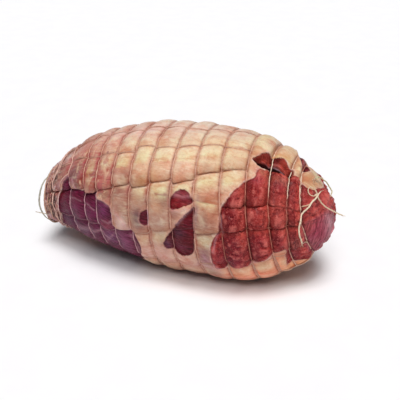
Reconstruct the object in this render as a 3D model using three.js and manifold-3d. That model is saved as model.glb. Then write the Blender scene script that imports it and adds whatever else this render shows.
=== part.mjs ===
// Raw leg of lamb, boned, rolled and held in string netting, lying on its side.
//
// The meat is one solid: a blunt spindle whose skin is quilted by the net. Its long
// axis is X, with the shank end at -X and the thick cut end at +X. Around the axis an
// angle of 0 points to +Y, 90 to the top, 180 to -Y and 270 to the floor. A place on
// the skin is a station along X in millimetres and such an angle in degrees.
import * as THREE from 'three';
import { mergeVertices } from 'three/addons/utils/BufferGeometryUtils.js';
import Module from 'manifold-3d';

// Cross-sections of the rolled meat: station, radius and height of the centre.
const SECTIONS = [
  [-129, 0, 38],
  [-126, 25, 41],
  [-118, 29, 45],
  [-104, 36, 50],
  [-84, 46, 54.5],
  [-58, 53, 57],
  [-28, 59, 58.5],
  [4, 61.5, 58.5],
  [36, 61.5, 58],
  [64, 58.5, 56],
  [88, 49, 54.5],
  [106, 36, 55],
  [118, 23.5, 56.5],
  [126, 11.5, 58.5],
  [129, 0, 60],
];
const SQUARENESS = 2.15;

// Hoops of the net: station at the middle of the near side, and how far the hoop leans.
const HOOPS = [
  [-114, 0],
  [-93, 6],
  [-75, 5],
  [-62, 4],
  [-46, 4.5],
  [-29, 4.5],
  [-12, 4.5],
  [7, 5.5],
  [26, 6.5],
  [47, 9],
  [67, 9],
  [84, 8],
  [97, 6],
  [107, 8],
];
const HOOP_PIVOT = 150;

// Lengthwise strands: angle at the shank end, drift towards the cut end, last hoop met.
const ROWS = [
  [101, -25, 10],
  [128, -28, 10],
  [162, -44, 10],
  [197, -30, 13],
  [229, -29, 13],
  [260, -28, 13],
  [292, -27, 13],
  [325, -26, 13],
  [358, -25, 13],
  [391, -24, 13],
  [426, -24, 13],
];
// Share of a strand's drift that it has made at each station.
const DRIFT = [
  [-70, 0],
  [0, 0.33],
  [70, 0.85],
  [110, 1],
];

// Where the skin has its own points between two neighbouring strands of the net.
const CELL_STEPS = [0, 0.27, 0.73];
// Section positions of the plain rings that close the two ends.
const SHANK_RINGS = [0.35, 0.8, 1.5];
const CUT_RINGS = [12.35, 12.85, 13.3, 13.7];

const CUSHION_HEIGHT = 2.4;
const CUSHION_SPREAD = 0.22;
const REST_GAP = 3.3;

// Folds at the top of the cut end: station, angle, half-length, half-angle and height.
const FAT_LOBES = [
  [67, 84, 8, 15, 3.4],
  [86, 79, 9, 16, 4.2],
];
const CLEFT = { from: 61, to: 95, angle: 108, halfAngle: 10, depth: 8 };

const NET_THREAD = 1.3;
const NET_CLEARANCE = 1;
const NET_FLOOR = 1;
// A lengthwise strand bends between two hoops where a straight run would stray this far.
const ROW_STRAY = 0.5;

const END_LOOP = { section: 1.2, stand: 5.5, from: 120, to: 235 };

const TIE_TWINE = 1.8;
const TIE_SIDES = 5;
const TIE_STEP = 5;
const KNOT = { station: 113, angle: 119, height: 4.2, width: 6.4, depth: 4.4 };
// Routes of the tie twine: station, angle and height above the skin.
const TAIL_DOWN = [
  [113, 119, 4.2],
  [112, 131, 3.9],
  [109, 145, 3.4],
  [107.5, 158, 3.4],
  [107.5, 172, 3.4],
  [109, 184, 3.4],
  [111, 194, 3.2],
];
const TAIL_OUT = [
  [113, 119, 4.2],
  [117, 121, 4],
  [121, 122, 4.2],
  [125, 120, 5],
  [127.3, 113, 7],
];
const SLACK_LOOP = [
  [113, 119, 4.2],
  [109, 112, 4.6],
  [105.5, 107, 4.4],
  [106, 99, 5],
  [110, 98, 5.4],
  [114, 107, 5],
  [113, 119, 4.6],
];
const OVER_THE_TOP = [
  [113, 119, 4.2],
  [115, 100, 2.6],
  [115.5, 75, 2.2],
  [115.5, 45, 2],
  [115, 15, 2],
  [115, -15, 2],
];

const FAT_COLOUR = 0xe0be96;
const THREAD_COLOUR = 0xe6cfae;
const TWINE_COLOUR = 0xeed9b2;

const wasm = await Module();
wasm.setup();

const spine = new THREE.CatmullRomCurve3(
  SECTIONS.map(([x, radius, height]) => new THREE.Vector3(x, radius, height)),
  false,
  'catmullrom',
  0.5,
);
const LAST_SECTION = SECTIONS.length - 1;

function section(position) {
  return spine.getPoint(THREE.MathUtils.clamp(position / LAST_SECTION, 0, 1));
}

// Finds the section position whose station is x, by halving.
function positionAt(x) {
  let low = 0;
  let high = LAST_SECTION;
  for (let i = 0; i < 30; i += 1) {
    const middle = (low + high) / 2;
    if (section(middle).x < x) low = middle;
    else high = middle;
  }
  return (low + high) / 2;
}

function interpolate(table, x) {
  if (x <= table[0][0]) return table[0][1];
  for (let i = 1; i < table.length; i += 1) {
    const [x0, y0] = table[i - 1];
    const [x1, y1] = table[i];
    if (x <= x1) return THREE.MathUtils.mapLinear(x, x0, x1, y0, y1);
  }
  return table[table.length - 1][1];
}

// A point of the smooth skin, before cushions and folds.
function barePoint(position, degrees) {
  const { x, y: radius, z: height } = section(position);
  const angle = THREE.MathUtils.degToRad(degrees);
  const across = Math.cos(angle);
  const up = Math.sin(angle);
  const round = (Math.abs(across) ** SQUARENESS + Math.abs(up) ** SQUARENESS) ** (-1 / SQUARENESS);
  return new THREE.Vector3(x, radius * round * across, height + radius * round * up);
}

function outward(position, degrees) {
  const inset = THREE.MathUtils.clamp(position, 0.05, LAST_SECTION - 0.05);
  const along = barePoint(inset + 0.02, degrees).sub(barePoint(inset - 0.02, degrees));
  const around = barePoint(inset, degrees + 1).sub(barePoint(inset, degrees - 1));
  return around.cross(along).normalize();
}

// The skin raised by lift along its own normal, and never below floor.
function skinPoint(position, degrees, lift, floor) {
  const point = barePoint(position, degrees).addScaledVector(outward(position, degrees), lift);
  point.z = Math.max(point.z, floor);
  return point;
}

function turnApart(a, b) {
  return ((((a - b) % 360) + 540) % 360) - 180;
}

// Height of the two fat lobes above the skin.
function lobeHeight(x, degrees) {
  return FAT_LOBES.reduce((sum, [station, angle, halfLength, halfAngle, height]) => {
    const far = ((x - station) / halfLength) ** 2 + (turnApart(degrees, angle) / halfAngle) ** 2;
    return sum + height * Math.exp(-far);
  }, 0);
}

// Depth of the cleft between the lobes and the cut muscle below them.
function cleftDepth(x, degrees) {
  const along = (2 * x - CLEFT.from - CLEFT.to) / (CLEFT.to - CLEFT.from);
  const across = turnApart(degrees, CLEFT.angle) / CLEFT.halfAngle;
  return CLEFT.depth * Math.max(0, 1 - along ** 2) * Math.max(0, 1 - across ** 2);
}

// A steady number between -1 and 1 for each cell of the net, so that cushions differ.
function unevenness(hoop, row) {
  const wave = Math.sin(hoop * 12.9898 + row * 78.233) * 43758.5453;
  return 2 * (wave - Math.floor(wave)) - 1;
}

// Turns net coordinates (hoop number, row number) into a place on the skin.
function netPlace(hoop, row) {
  const index = Math.min(Math.floor(hoop), HOOPS.length - 2);
  const part = hoop - index;
  const station = THREE.MathUtils.lerp(HOOPS[index][0], HOOPS[index + 1][0], part);
  const lean = THREE.MathUtils.lerp(HOOPS[index][1], HOOPS[index + 1][1], part);
  const degrees = rowAngle(row, station);
  const x = station + lean * Math.sin(THREE.MathUtils.degToRad(degrees - HOOP_PIVOT));
  return { x, position: positionAt(x), degrees };
}

function rowAngle(row, station) {
  const turn = Math.floor(row / ROWS.length) * 360;
  const index = ((Math.floor(row) % ROWS.length) + ROWS.length) % ROWS.length;
  const next = (index + 1) % ROWS.length;
  const share = interpolate(DRIFT, station);
  const here = ROWS[index][0] + ROWS[index][1] * share;
  const there = ROWS[next][0] + ROWS[next][1] * share + (next === 0 ? 360 : 0);
  return THREE.MathUtils.lerp(here, there, row - Math.floor(row)) + turn;
}

function meatPoint(hoop, row) {
  const { x, position, degrees } = netPlace(hoop, row);
  const inCell = hoop % 1 > 0 && row % 1 > 0;
  const spread = 1 + CUSHION_SPREAD * unevenness(Math.floor(hoop), Math.floor(row));
  const cushion = inCell ? CUSHION_HEIGHT * spread : 0;
  const folds = lobeHeight(x, degrees) - cleftDepth(x, degrees);
  return skinPoint(position, degrees, cushion + folds, inCell ? 0 : REST_GAP);
}

// Closes a stack of equal rings with one point at each end.
function closedRings(rings, firstTip, lastTip) {
  const count = rings[0].length;
  const points = [firstTip, ...rings.flat(), lastTip];
  const last = points.length - 1;
  const faces = [];
  for (let j = 0; j < count; j += 1) {
    const k = (j + 1) % count;
    faces.push(0, 1 + k, 1 + j);
    for (let i = 0; i + 1 < rings.length; i += 1) {
      const a = 1 + i * count;
      const b = a + count;
      faces.push(a + j, a + k, b + j, a + k, b + k, b + j);
    }
    const end = 1 + (rings.length - 1) * count;
    faces.push(end + j, end + k, last);
  }
  return solidGeometry(points, faces);
}

function solidGeometry(points, faces) {
  const geometry = new THREE.BufferGeometry();
  const numbers = points.flatMap((point) => point.toArray());
  geometry.setAttribute('position', new THREE.Float32BufferAttribute(numbers, 3));
  geometry.setIndex(faces);
  return geometry;
}

function meatGeometry() {
  const rowPlaces = ROWS.flatMap((_, row) => CELL_STEPS.map((step) => row + step));
  const plainRing = (position, station) =>
    rowPlaces.map((row) => skinPoint(position, rowAngle(row, station), 0, REST_GAP));
  const hoopPlaces = HOOPS.slice(0, -1).flatMap((_, hoop) => CELL_STEPS.map((step) => hoop + step));
  hoopPlaces.push(HOOPS.length - 1);
  const rings = [
    ...SHANK_RINGS.map((position) => plainRing(position, HOOPS[0][0])),
    ...hoopPlaces.map((hoop) => rowPlaces.map((row) => meatPoint(hoop, row))),
    ...CUT_RINGS.map((position) => plainRing(position, DRIFT[DRIFT.length - 1][0])),
  ];
  return closedRings(rings, barePoint(0, 0), barePoint(LAST_SECTION, 0));
}

// Sweeps a round section of few sides along points, kept square to the given normals.
function sweep(points, normals, diameter, sides) {
  const rings = points.map((point, i) => {
    const before = points[Math.max(i - 1, 0)];
    const after = points[Math.min(i + 1, points.length - 1)];
    const along = after.clone().sub(before).normalize();
    const side = along.clone().cross(normals[i]).normalize();
    const up = side.clone().cross(along).normalize();
    return Array.from({ length: sides }, (_, j) => {
      const angle = (2 * Math.PI * j) / sides;
      return point
        .clone()
        .addScaledVector(up, (diameter / 2) * Math.cos(angle))
        .addScaledVector(side, (diameter / 2) * Math.sin(angle));
    });
  });
  return closedRings(rings, points[0], points[points.length - 1]);
}

function toManifold(geometry) {
  const merged = mergeVertices(geometry, 1e-4);
  const vertProperties = Float32Array.from(merged.attributes.position.array);
  const triVerts = Uint32Array.from(merged.index.array);
  return new wasm.Manifold(new wasm.Mesh({ numProp: 3, vertProperties, triVerts }));
}

function joined(geometries) {
  const whole = geometries.map(toManifold).reduce((sum, next) => sum.add(next));
  const { vertProperties, triVerts } = whole.getMesh();
  const geometry = new THREE.BufferGeometry();
  geometry.setAttribute('position', new THREE.BufferAttribute(Float32Array.from(vertProperties), 3));
  geometry.setIndex(new THREE.BufferAttribute(Uint32Array.from(triVerts), 1));
  return geometry;
}

// How far the net's last loop, round the shank end, stands off the meat at an angle.
function slack(degrees) {
  const turn = ((degrees % 360) + 360) % 360;
  const part = (turn - END_LOOP.from) / (END_LOOP.to - END_LOOP.from);
  return part > 0 && part < 1 ? END_LOOP.stand * Math.sin(Math.PI * part) : 0;
}

// A place of the net's centre line. Hoop -1 is the last loop, round the shank end.
function netPoint(hoop, row) {
  const place = netPlace(Math.max(hoop, 0), row);
  if (hoop < 0) place.position = THREE.MathUtils.lerp(place.position, END_LOOP.section, -hoop);
  const lift = NET_CLEARANCE + NET_THREAD / 2 + Math.max(lobeHeight(place.x, place.degrees), 0);
  const point = skinPoint(place.position, place.degrees, lift, NET_FLOOR);
  point.x -= Math.max(-hoop, 0) * slack(place.degrees);
  return { point, normal: outward(place.position, place.degrees) };
}

// The four corners of a square strand's section, in order round the strand.
const SECTION_CORNERS = [
  [1, 1],
  [-1, 1],
  [-1, -1],
  [1, -1],
];

// The net as one lattice: a block at each crossing and bent strands between blocks.
function netGeometry() {
  const points = [];
  const faces = [];
  const addPoint = (base, ...moves) => {
    points.push(moves.reduce((sum, [way, far]) => sum.addScaledVector(way, far), base.clone()));
    return points.length - 1;
  };
  const addQuad = (a, b, c, d) => faces.push(a, b, c, a, c, d);
  const addStrand = (from, to, flipped) => {
    for (let i = 0; i < from.length; i += 1) {
      const k = (i + 1) % from.length;
      if (flipped) addQuad(from[i], to[i], to[k], from[k]);
      else addQuad(from[i], from[k], to[k], to[i]);
    }
  };
  const half = NET_THREAD / 2;
  const near = 0.05;
  const waysAt = (hoop, row) => {
    const { point, normal } = netPoint(hoop, row);
    const around = netPoint(hoop, row + near).point.sub(netPoint(hoop, row - near).point).normalize();
    const firstHoop = Math.max(hoop - near, -1);
    const lastHoop = Math.min(hoop + near, HOOPS.length - 1);
    const along = netPoint(lastHoop, row).point.sub(netPoint(firstHoop, row).point).normalize();
    return { point, normal, around, along };
  };
  const blockAt = (hoop, row) => {
    const { point, normal, around, along } = waysAt(hoop, row);
    const corner = (a, b, n) => addPoint(point, [around, a * half], [along, b * half], [normal, n * half]);
    const corners = {};
    [1, -1].forEach((a) => [1, -1].forEach((b) => [1, -1].forEach((n) => {
      corners[[a, b, n]] = corner(a, b, n);
    })));
    const side = (pick) => SECTION_CORNERS.map(([across, up]) => corners[pick(across, up)]);
    const block = {
      ahead: side((across, up) => [1, across, up]),
      behind: side((across, up) => [-1, across, up]),
      right: side((across, up) => [across, 1, up]),
      left: side((across, up) => [across, -1, up]),
    };
    addQuad(...SECTION_CORNERS.map(([a, b]) => corners[[a, b, 1]]));
    addQuad(...SECTION_CORNERS.map(([a, b]) => corners[[a, b, -1]]).reverse());
    return block;
  };
  const bendAt = (hoop, row, alongRow) => {
    const { point, normal, around, along } = waysAt(hoop, row);
    const side = alongRow ? along.cross(normal).normalize() : normal.clone().cross(around).normalize();
    return SECTION_CORNERS.map(([across, up]) => addPoint(point, [side, across * half], [normal, up * half]));
  };
  const strays = (hoop, row) => {
    const straight = netPoint(hoop, row).point.lerp(netPoint(hoop + 1, row).point, 0.5);
    return straight.distanceTo(netPoint(hoop + 0.5, row).point) > ROW_STRAY;
  };
  const hasRow = (hoop, row) => hoop < ROWS[row][2] && (hoop >= 0 || !slack(rowAngle(row, HOOPS[0][0])));
  const loops = [-1, ...HOOPS.keys()];
  const blocks = loops.map((hoop) => ROWS.map((_, row) => blockAt(hoop, row)));
  loops.forEach((hoop, i) => ROWS.forEach((_, row) => {
    const block = blocks[i][row];
    const bends = CELL_STEPS.slice(1).map((step) => bendAt(hoop, row + step));
    const stops = [block.ahead, ...bends, blocks[i][(row + 1) % ROWS.length].behind];
    stops.slice(1).forEach((stop, k) => addStrand(stops[k], stop, false));
    if (i === 0 || !hasRow(hoop - 1, row)) addQuad(...block.left);
    if (i + 1 === loops.length || !hasRow(hoop, row)) {
      addQuad(...block.right.toReversed());
      return;
    }
    const rowStops = [block.right, blocks[i + 1][row].left];
    if (strays(hoop, row)) rowStops.splice(1, 0, bendAt(hoop + 0.5, row, true));
    rowStops.slice(1).forEach((stop, k) => addStrand(rowStops[k], stop, true));
  }));
  return solidGeometry(points, faces);
}

// A length of tie twine along a route of places above the skin.
function twine(route) {
  const nodes = route.map(([x, degrees, height]) =>
    skinPoint(positionAt(x), degrees, height, TIE_TWINE));
  const curve = new THREE.CatmullRomCurve3(nodes);
  const steps = Math.ceil(curve.getLength() / TIE_STEP);
  const points = curve.getSpacedPoints(steps);
  const { normals } = curve.computeFrenetFrames(steps);
  return sweep(points, normals, TIE_TWINE, TIE_SIDES);
}

function knotGeometry() {
  const place = skinPoint(positionAt(KNOT.station), KNOT.angle, KNOT.height, 0);
  const ball = new THREE.SphereGeometry(0.5, 10, 7);
  ball.deleteAttribute('normal');
  ball.deleteAttribute('uv');
  ball.scale(KNOT.width, KNOT.depth, KNOT.depth);
  ball.rotateY(Math.PI / 5);
  ball.translate(place.x, place.y, place.z);
  return ball;
}

function tieGeometry() {
  const routes = [TAIL_DOWN, TAIL_OUT, SLACK_LOOP, OVER_THE_TOP];
  return joined([knotGeometry(), ...routes.map(twine)]);
}

function piece(name, geometry, color, roughness) {
  geometry.computeVertexNormals();
  const material = new THREE.MeshStandardMaterial({ color, roughness, metalness: 0, flatShading: true });
  const mesh = new THREE.Mesh(geometry, material);
  mesh.name = name;
  return mesh;
}

const leg = new THREE.Group();
leg.add(piece('meat', meatGeometry(), FAT_COLOUR, 0.4));
leg.add(piece('netting', netGeometry(), THREAD_COLOUR, 0.8));
leg.add(piece('end_tie', tieGeometry(), TWINE_COLOUR, 0.85));

// The origin is the middle of the bottom of the whole piece's box.
const box = new THREE.Box3().setFromObject(leg);
const middle = box.getCenter(new THREE.Vector3());
leg.position.set(-middle.x, -middle.y, -box.min.z);

export default leg;
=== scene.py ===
"""Raw leg of lamb, boned, rolled and held in string netting, on a pale studio floor.

Places on the joint are a station along X in millimetres and an angle round the axis in
degrees: 90 is the top, 180 the near side, 270 the floor and 360 the far side.
"""

import logging
import math
from dataclasses import dataclass, field
from enum import Enum

import bpy
import numpy as np
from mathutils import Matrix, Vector


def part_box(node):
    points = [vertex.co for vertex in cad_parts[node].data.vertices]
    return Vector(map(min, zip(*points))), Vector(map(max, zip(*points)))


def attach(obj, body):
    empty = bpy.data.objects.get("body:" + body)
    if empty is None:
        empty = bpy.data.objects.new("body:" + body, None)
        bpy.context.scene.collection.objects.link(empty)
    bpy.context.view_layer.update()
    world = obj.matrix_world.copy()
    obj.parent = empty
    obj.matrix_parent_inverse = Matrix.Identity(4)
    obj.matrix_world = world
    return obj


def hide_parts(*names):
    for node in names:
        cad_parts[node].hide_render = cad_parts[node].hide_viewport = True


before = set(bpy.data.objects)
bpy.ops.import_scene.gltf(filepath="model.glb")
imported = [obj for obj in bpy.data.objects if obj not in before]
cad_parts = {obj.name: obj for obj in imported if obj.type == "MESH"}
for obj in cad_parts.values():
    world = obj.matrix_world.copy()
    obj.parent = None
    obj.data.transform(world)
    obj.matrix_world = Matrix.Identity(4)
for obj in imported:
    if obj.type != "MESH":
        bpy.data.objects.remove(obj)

LOG = logging.getLogger("leg_of_lamb")
MM = 0.001
Route = tuple[tuple[float, float], ...]
Band = tuple[float, float, float, float]
Span = tuple[float, float]
Array = np.ndarray
Socket = bpy.types.NodeSocket


# ---------------------------------------------------------------- numbers and colours


def linear(colour: str) -> Array:
    """Turns a display colour into linear light.

    Args:
        colour: the colour as six hexadecimal digits.

    Returns:
        Red, green and blue, each from 0 to 1.
    """
    shown = np.array([int(colour[i : i + 2], 16) for i in (0, 2, 4)]) / 255
    return np.where(shown <= 0.04045, shown / 12.92, ((shown + 0.055) / 1.055) ** 2.4)


def smooth(low: float, high: float, value: Array) -> Array:
    """Rises smoothly from 0 at low to 1 at high."""
    part = np.clip((value - low) / (high - low), 0, 1)
    return part * part * (3 - 2 * part)


def between(band: Band, value: Array) -> Array:
    """Rises from 0 to 1 over a band's first two numbers, and falls back over its last two."""
    return smooth(band[0], band[1], value) * (1 - smooth(band[2], band[3], value))


def bell(value: Array, middle: float, width: float) -> Array:
    """A soft bump of height 1 round a middle value."""
    return np.exp(-(((value - middle) / width) ** 2))


def blend(low: Array, high: Array, share: Array) -> Array:
    """Mixes two tones by a share for each place."""
    return low * (1 - share[:, None]) + high * share[:, None]


def noise(points: Array, size: float, seed: int, octaves: int = 1) -> Array:
    """Smooth lattice noise.

    Args:
        points: places, one a row, in millimetres.
        size: the size of the largest lumps, in millimetres.
        seed: picks one of many patterns.
        octaves: how many halvings of the size are added up.

    Returns:
        One number for each place, between about -1 and 1.
    """
    total = np.zeros(len(points))
    reach = 0.0
    for octave in range(octaves):
        cell = points * (2**octave / size)
        low = np.floor(cell).astype(np.int64)
        part = cell - low
        part = part * part * (3 - 2 * part)
        for corner in np.ndindex(2, 2, 2):
            key = (low + corner) @ np.array([374761393, 668265263, 1442695041])
            key = (key + (seed * 31 + octave) * 1274126177) & 0xFFFFFFFF
            key = ((key ^ (key >> 13)) * 1274126177) & 0xFFFFFFFF
            value = ((key ^ (key >> 16)) & 0xFFFF) / 32767.5 - 1
            weight = np.prod(np.where(np.array(corner) == 1, part, 1 - part), axis=1)
            total += value * weight * 0.55**octave
        reach += 0.55**octave
    return total / reach


def bend(four: tuple | list | Array, part: Array) -> Array:
    """Follows a smooth curve that passes through corners.

    Args:
        four: the corner before, the two that the stretch joins, and the one after.
        part: how far along the stretch, from 0 to 1.

    Returns:
        The places on the curve.
    """
    before, here, there, after = four
    curve = 2 * here + (there - before) * part
    curve = curve + (2 * before - 5 * here + 4 * there - after) * part**2
    return (curve + (3 * here - before - 3 * there + after) * part**3) / 2


def rounded(route: Route, per_side: int = 5) -> Array:
    """Draws a closed smooth curve through the corners of an outline.

    Args:
        route: the corners.
        per_side: how many points each side gets.

    Returns:
        The points of the curve, one a row.
    """
    corners = np.array(route, float)
    four = [np.roll(corners, -k, axis=0)[:, None] for k in (-1, 0, 1, 2)]
    part = np.linspace(0, 1, per_side, endpoint=False)[None, :, None]
    return bend(four, part).reshape(-1, 2)


def to_segments(points: Array, start: Array, end: Array) -> Array:
    """Distance from each point to the nearest of several straight segments.

    Args:
        points: the points, one a row.
        start: where each segment starts.
        end: where each segment ends.

    Returns:
        One distance for each point.
    """
    nearest = np.full(len(points), 1e9)
    for a, b in zip(start, end):
        run = b - a
        length = max(float(run @ run), 1e-9)
        part = np.clip(((points - a) @ run) / length, 0, 1)
        off = points - a - part[:, None] * run
        nearest = np.minimum(nearest, (off * off).sum(axis=1))
    return np.sqrt(nearest)


def inside_distance(points: Array, outline: Array) -> Array:
    """Distance to a closed outline, positive inside it and negative outside.

    Args:
        points: the points, one a row.
        outline: the corners of the outline, one a row.

    Returns:
        One signed distance for each point.
    """
    after = np.roll(outline, -1, axis=0)
    inside = np.zeros(len(points), bool)
    for (ax, ay), (bx, by) in zip(outline, after):
        crosses = (ay > points[:, 1]) != (by > points[:, 1])
        slope = (bx - ax) / (by - ay) if by != ay else 0.0
        inside ^= crosses & (points[:, 0] < ax + slope * (points[:, 1] - ay))
    return np.where(inside, 1, -1) * to_segments(points, outline, after)


# ---------------------------------------------------------------- the rolled joint


@dataclass
class JointShape:
    """The smooth shape of the rolled joint and where the net lies on it, in millimetres.

    A section has its station, radius and height over the floor. A hoop has its station
    and lean. A row is a lengthwise strand: its angle, how far it has turned by the cut
    end, and the number of its last hoop. The drift says how that turn is shared out.
    """

    sections: tuple = (
        (-129, 0, 38), (-126, 25, 41), (-118, 29, 45), (-104, 36, 50), (-84, 46, 54.5),
        (-58, 53, 57), (-28, 59, 58.5), (4, 61.5, 58.5), (36, 61.5, 58), (64, 58.5, 56),
        (88, 49, 54.5), (106, 36, 55), (118, 23.5, 56.5), (126, 11.5, 58.5), (129, 0, 60),
    )
    squareness: float = 2.15
    hoops: tuple = (
        (-114, 0), (-93, 6), (-75, 5), (-62, 4), (-46, 4.5), (-29, 4.5), (-12, 4.5),
        (7, 5.5), (26, 6.5), (47, 9), (67, 9), (84, 8), (97, 6), (107, 8),
    )
    hoop_pivot: float = 150
    rows: tuple = (
        (101, -25, 10), (128, -28, 10), (162, -44, 10), (197, -30, 13), (229, -29, 13),
        (260, -28, 13), (292, -27, 13), (325, -26, 13), (358, -25, 13), (391, -24, 13),
        (426, -24, 13),
    )
    drift: tuple = ((-70, 0), (0, 0.33), (70, 0.85), (110, 1))
    row_step: float = 2.6
    step_reach: float = 1.6
    first_angle: float = 62
    samples: int = 2801
    seed: int = 11
    shift: float = 0.0
    table: Array = field(init=False)
    steps: Array = field(init=False)

    def __post_init__(self) -> None:
        """Works out the dense table of sections and the sideways steps of the strands."""
        ribs = np.array(self.sections, float)
        last = len(ribs) - 1
        place = np.linspace(0, last, self.samples)
        index = np.minimum(place.astype(int), last - 1)
        part = (place - index)[:, None]
        more = np.vstack([2 * ribs[0] - ribs[1], ribs, 2 * ribs[-1] - ribs[-2]])
        curve = bend([more[index + k] for k in range(4)], part)
        self.table = np.column_stack([place, curve])
        chance = np.random.default_rng(self.seed)
        self.steps = chance.uniform(-1, 1, (len(self.rows), len(self.hoops) + 1)) * self.row_step

    def position_of(self, station: Array) -> Array:
        """Section position, from 0 at the shank tip, of each station."""
        return np.interp(station, self.table[:, 1], self.table[:, 0])

    def bare(self, position: Array, degrees: Array) -> Array:
        """Points of the smooth skin, before cushions and folds.

        Args:
            position: section positions.
            degrees: angles round the axis.

        Returns:
            The points, one a row, in millimetres.
        """
        place, x, radius, height = self.table.T
        angle = np.radians(degrees)
        across, up = np.cos(angle), np.sin(angle)
        size = np.abs(across) ** self.squareness + np.abs(up) ** self.squareness
        reach = np.interp(position, place, radius) * size ** (-1 / self.squareness)
        lift = np.interp(position, place, height)
        return np.column_stack([np.interp(position, place, x), reach * across, lift + reach * up])

    def ways(self, position: Array, degrees: Array) -> tuple[Array, Array]:
        """Outward normals and the directions round the joint.

        Args:
            position: section positions.
            degrees: angles round the axis.

        Returns:
            The unit normals, and unit vectors that point where the angle grows.
        """
        inset = np.clip(position, 0.05, len(self.sections) - 1.05)
        along = self.bare(inset + 0.03, degrees) - self.bare(inset - 0.03, degrees)
        around = self.bare(inset, degrees + 1) - self.bare(inset, degrees - 1)
        normal = np.cross(around, along)
        normal /= np.linalg.norm(normal, axis=1, keepdims=True)
        return normal, around / np.linalg.norm(around, axis=1, keepdims=True)

    def radius_at(self, position: Array) -> Array:
        """Radius of the smooth skin at section positions."""
        return np.interp(position, self.table[:, 0], self.table[:, 2])

    def hoop_station(self, hoop: int, degrees: Array) -> Array:
        """Station of a hoop of the net at each angle."""
        station, lean = self.hoops[hoop]
        return station + lean * np.sin(np.radians(degrees - self.hoop_pivot))

    def row_angles(self, station: Array, degrees: Array) -> Array:
        """Angles of all lengthwise strands at each station.

        Args:
            station: stations of the places.
            degrees: their angles, for the lean of the hoops.

        Returns:
            The angles, one strand a row and one place a column.
        """
        share = np.interp(station, *np.array(self.drift).T)
        angles = np.array([start + change * share for start, change, _ in self.rows])
        lines = np.array([self.hoop_station(i, degrees) for i in range(len(self.hoops))])
        passed = smooth(-self.step_reach, self.step_reach, station[None, :] - lines)
        return angles + self.steps[:, :1] + np.diff(self.steps, axis=1) @ passed


# ---------------------------------------------------------------- what covers it


@dataclass(frozen=True)
class Wash:
    """A soft-edged tint: station, angle, half-length, half-angle, colour and strength."""

    station: float
    degrees: float
    half_length: float
    half_angle: float
    colour: str
    strength: float = 0.85


@dataclass(frozen=True)
class LeanPatch:
    """Bare muscle that shows through the fat.

    Its outline, colour, depth under the fat, coarseness, growth past the outline and
    the direction of its fibres in radians.
    """

    outline: Route
    colour: str
    depth: float
    grain: float
    edge: float = 0.0
    fibre: float = 0.12


@dataclass(frozen=True)
class Film:
    """A strip of silverskin along a route: half-width in millimetres and strength."""

    route: Route
    half_width: float
    strength: float


@dataclass(frozen=True)
class Hill:
    """A soft rise: station, angle, half-length, half-angle and height in millimetres."""

    station: float
    degrees: float
    half_length: float
    half_angle: float
    height: float


# Bands of stations along the joint: where a change starts, is full, fades and is gone.
GATHERED: Band = (-128, -122, -112, -98)
BRUISED: Band = (-110, -96, -62, -28)
WINDOWS: Band = (-24, -16, 32, 40)
STRAP: Band = (28, 31, 50, 54)
CLEFT_REACH: Band = (60, 66, 91, 97)
# Bands of angles round it, in the same way.
BRUISED_SIDE: Band = (100, 124, 176, 200)
BACK: Band = (188, 206, 396, 420)
# Spans of stations over which one thing gives way to the next.
SHANK_FACE: Span = (-127.6, -125)
SHANK_FOLDS: Span = (-110, -98)
RED_START: Span = (40, 52)
CUT_END: Span = (104, 108)


def table(kind: type, *rows: tuple) -> tuple:
    """Makes one entry of a kind from each row of values."""
    return tuple(kind(*row) for row in rows)


CLEFT: Route = (
    (64, 112.5), (67, 108), (71, 101), (77, 98), (84, 97), (90, 100),
    (95, 108), (92, 116), (85, 117), (77, 118), (71, 119.5), (67, 116.5),
)
CLEFT_UPPER_LIP: Route = ((60, 112), (66, 108), (71, 101), (77, 98), (84, 97), (90, 100), (95, 107))
CLEFT_LOWER_LIP: Route = ((60, 114), (65, 117), (70, 120), (77, 118), (85, 117), (92, 116), (95, 110))

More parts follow.
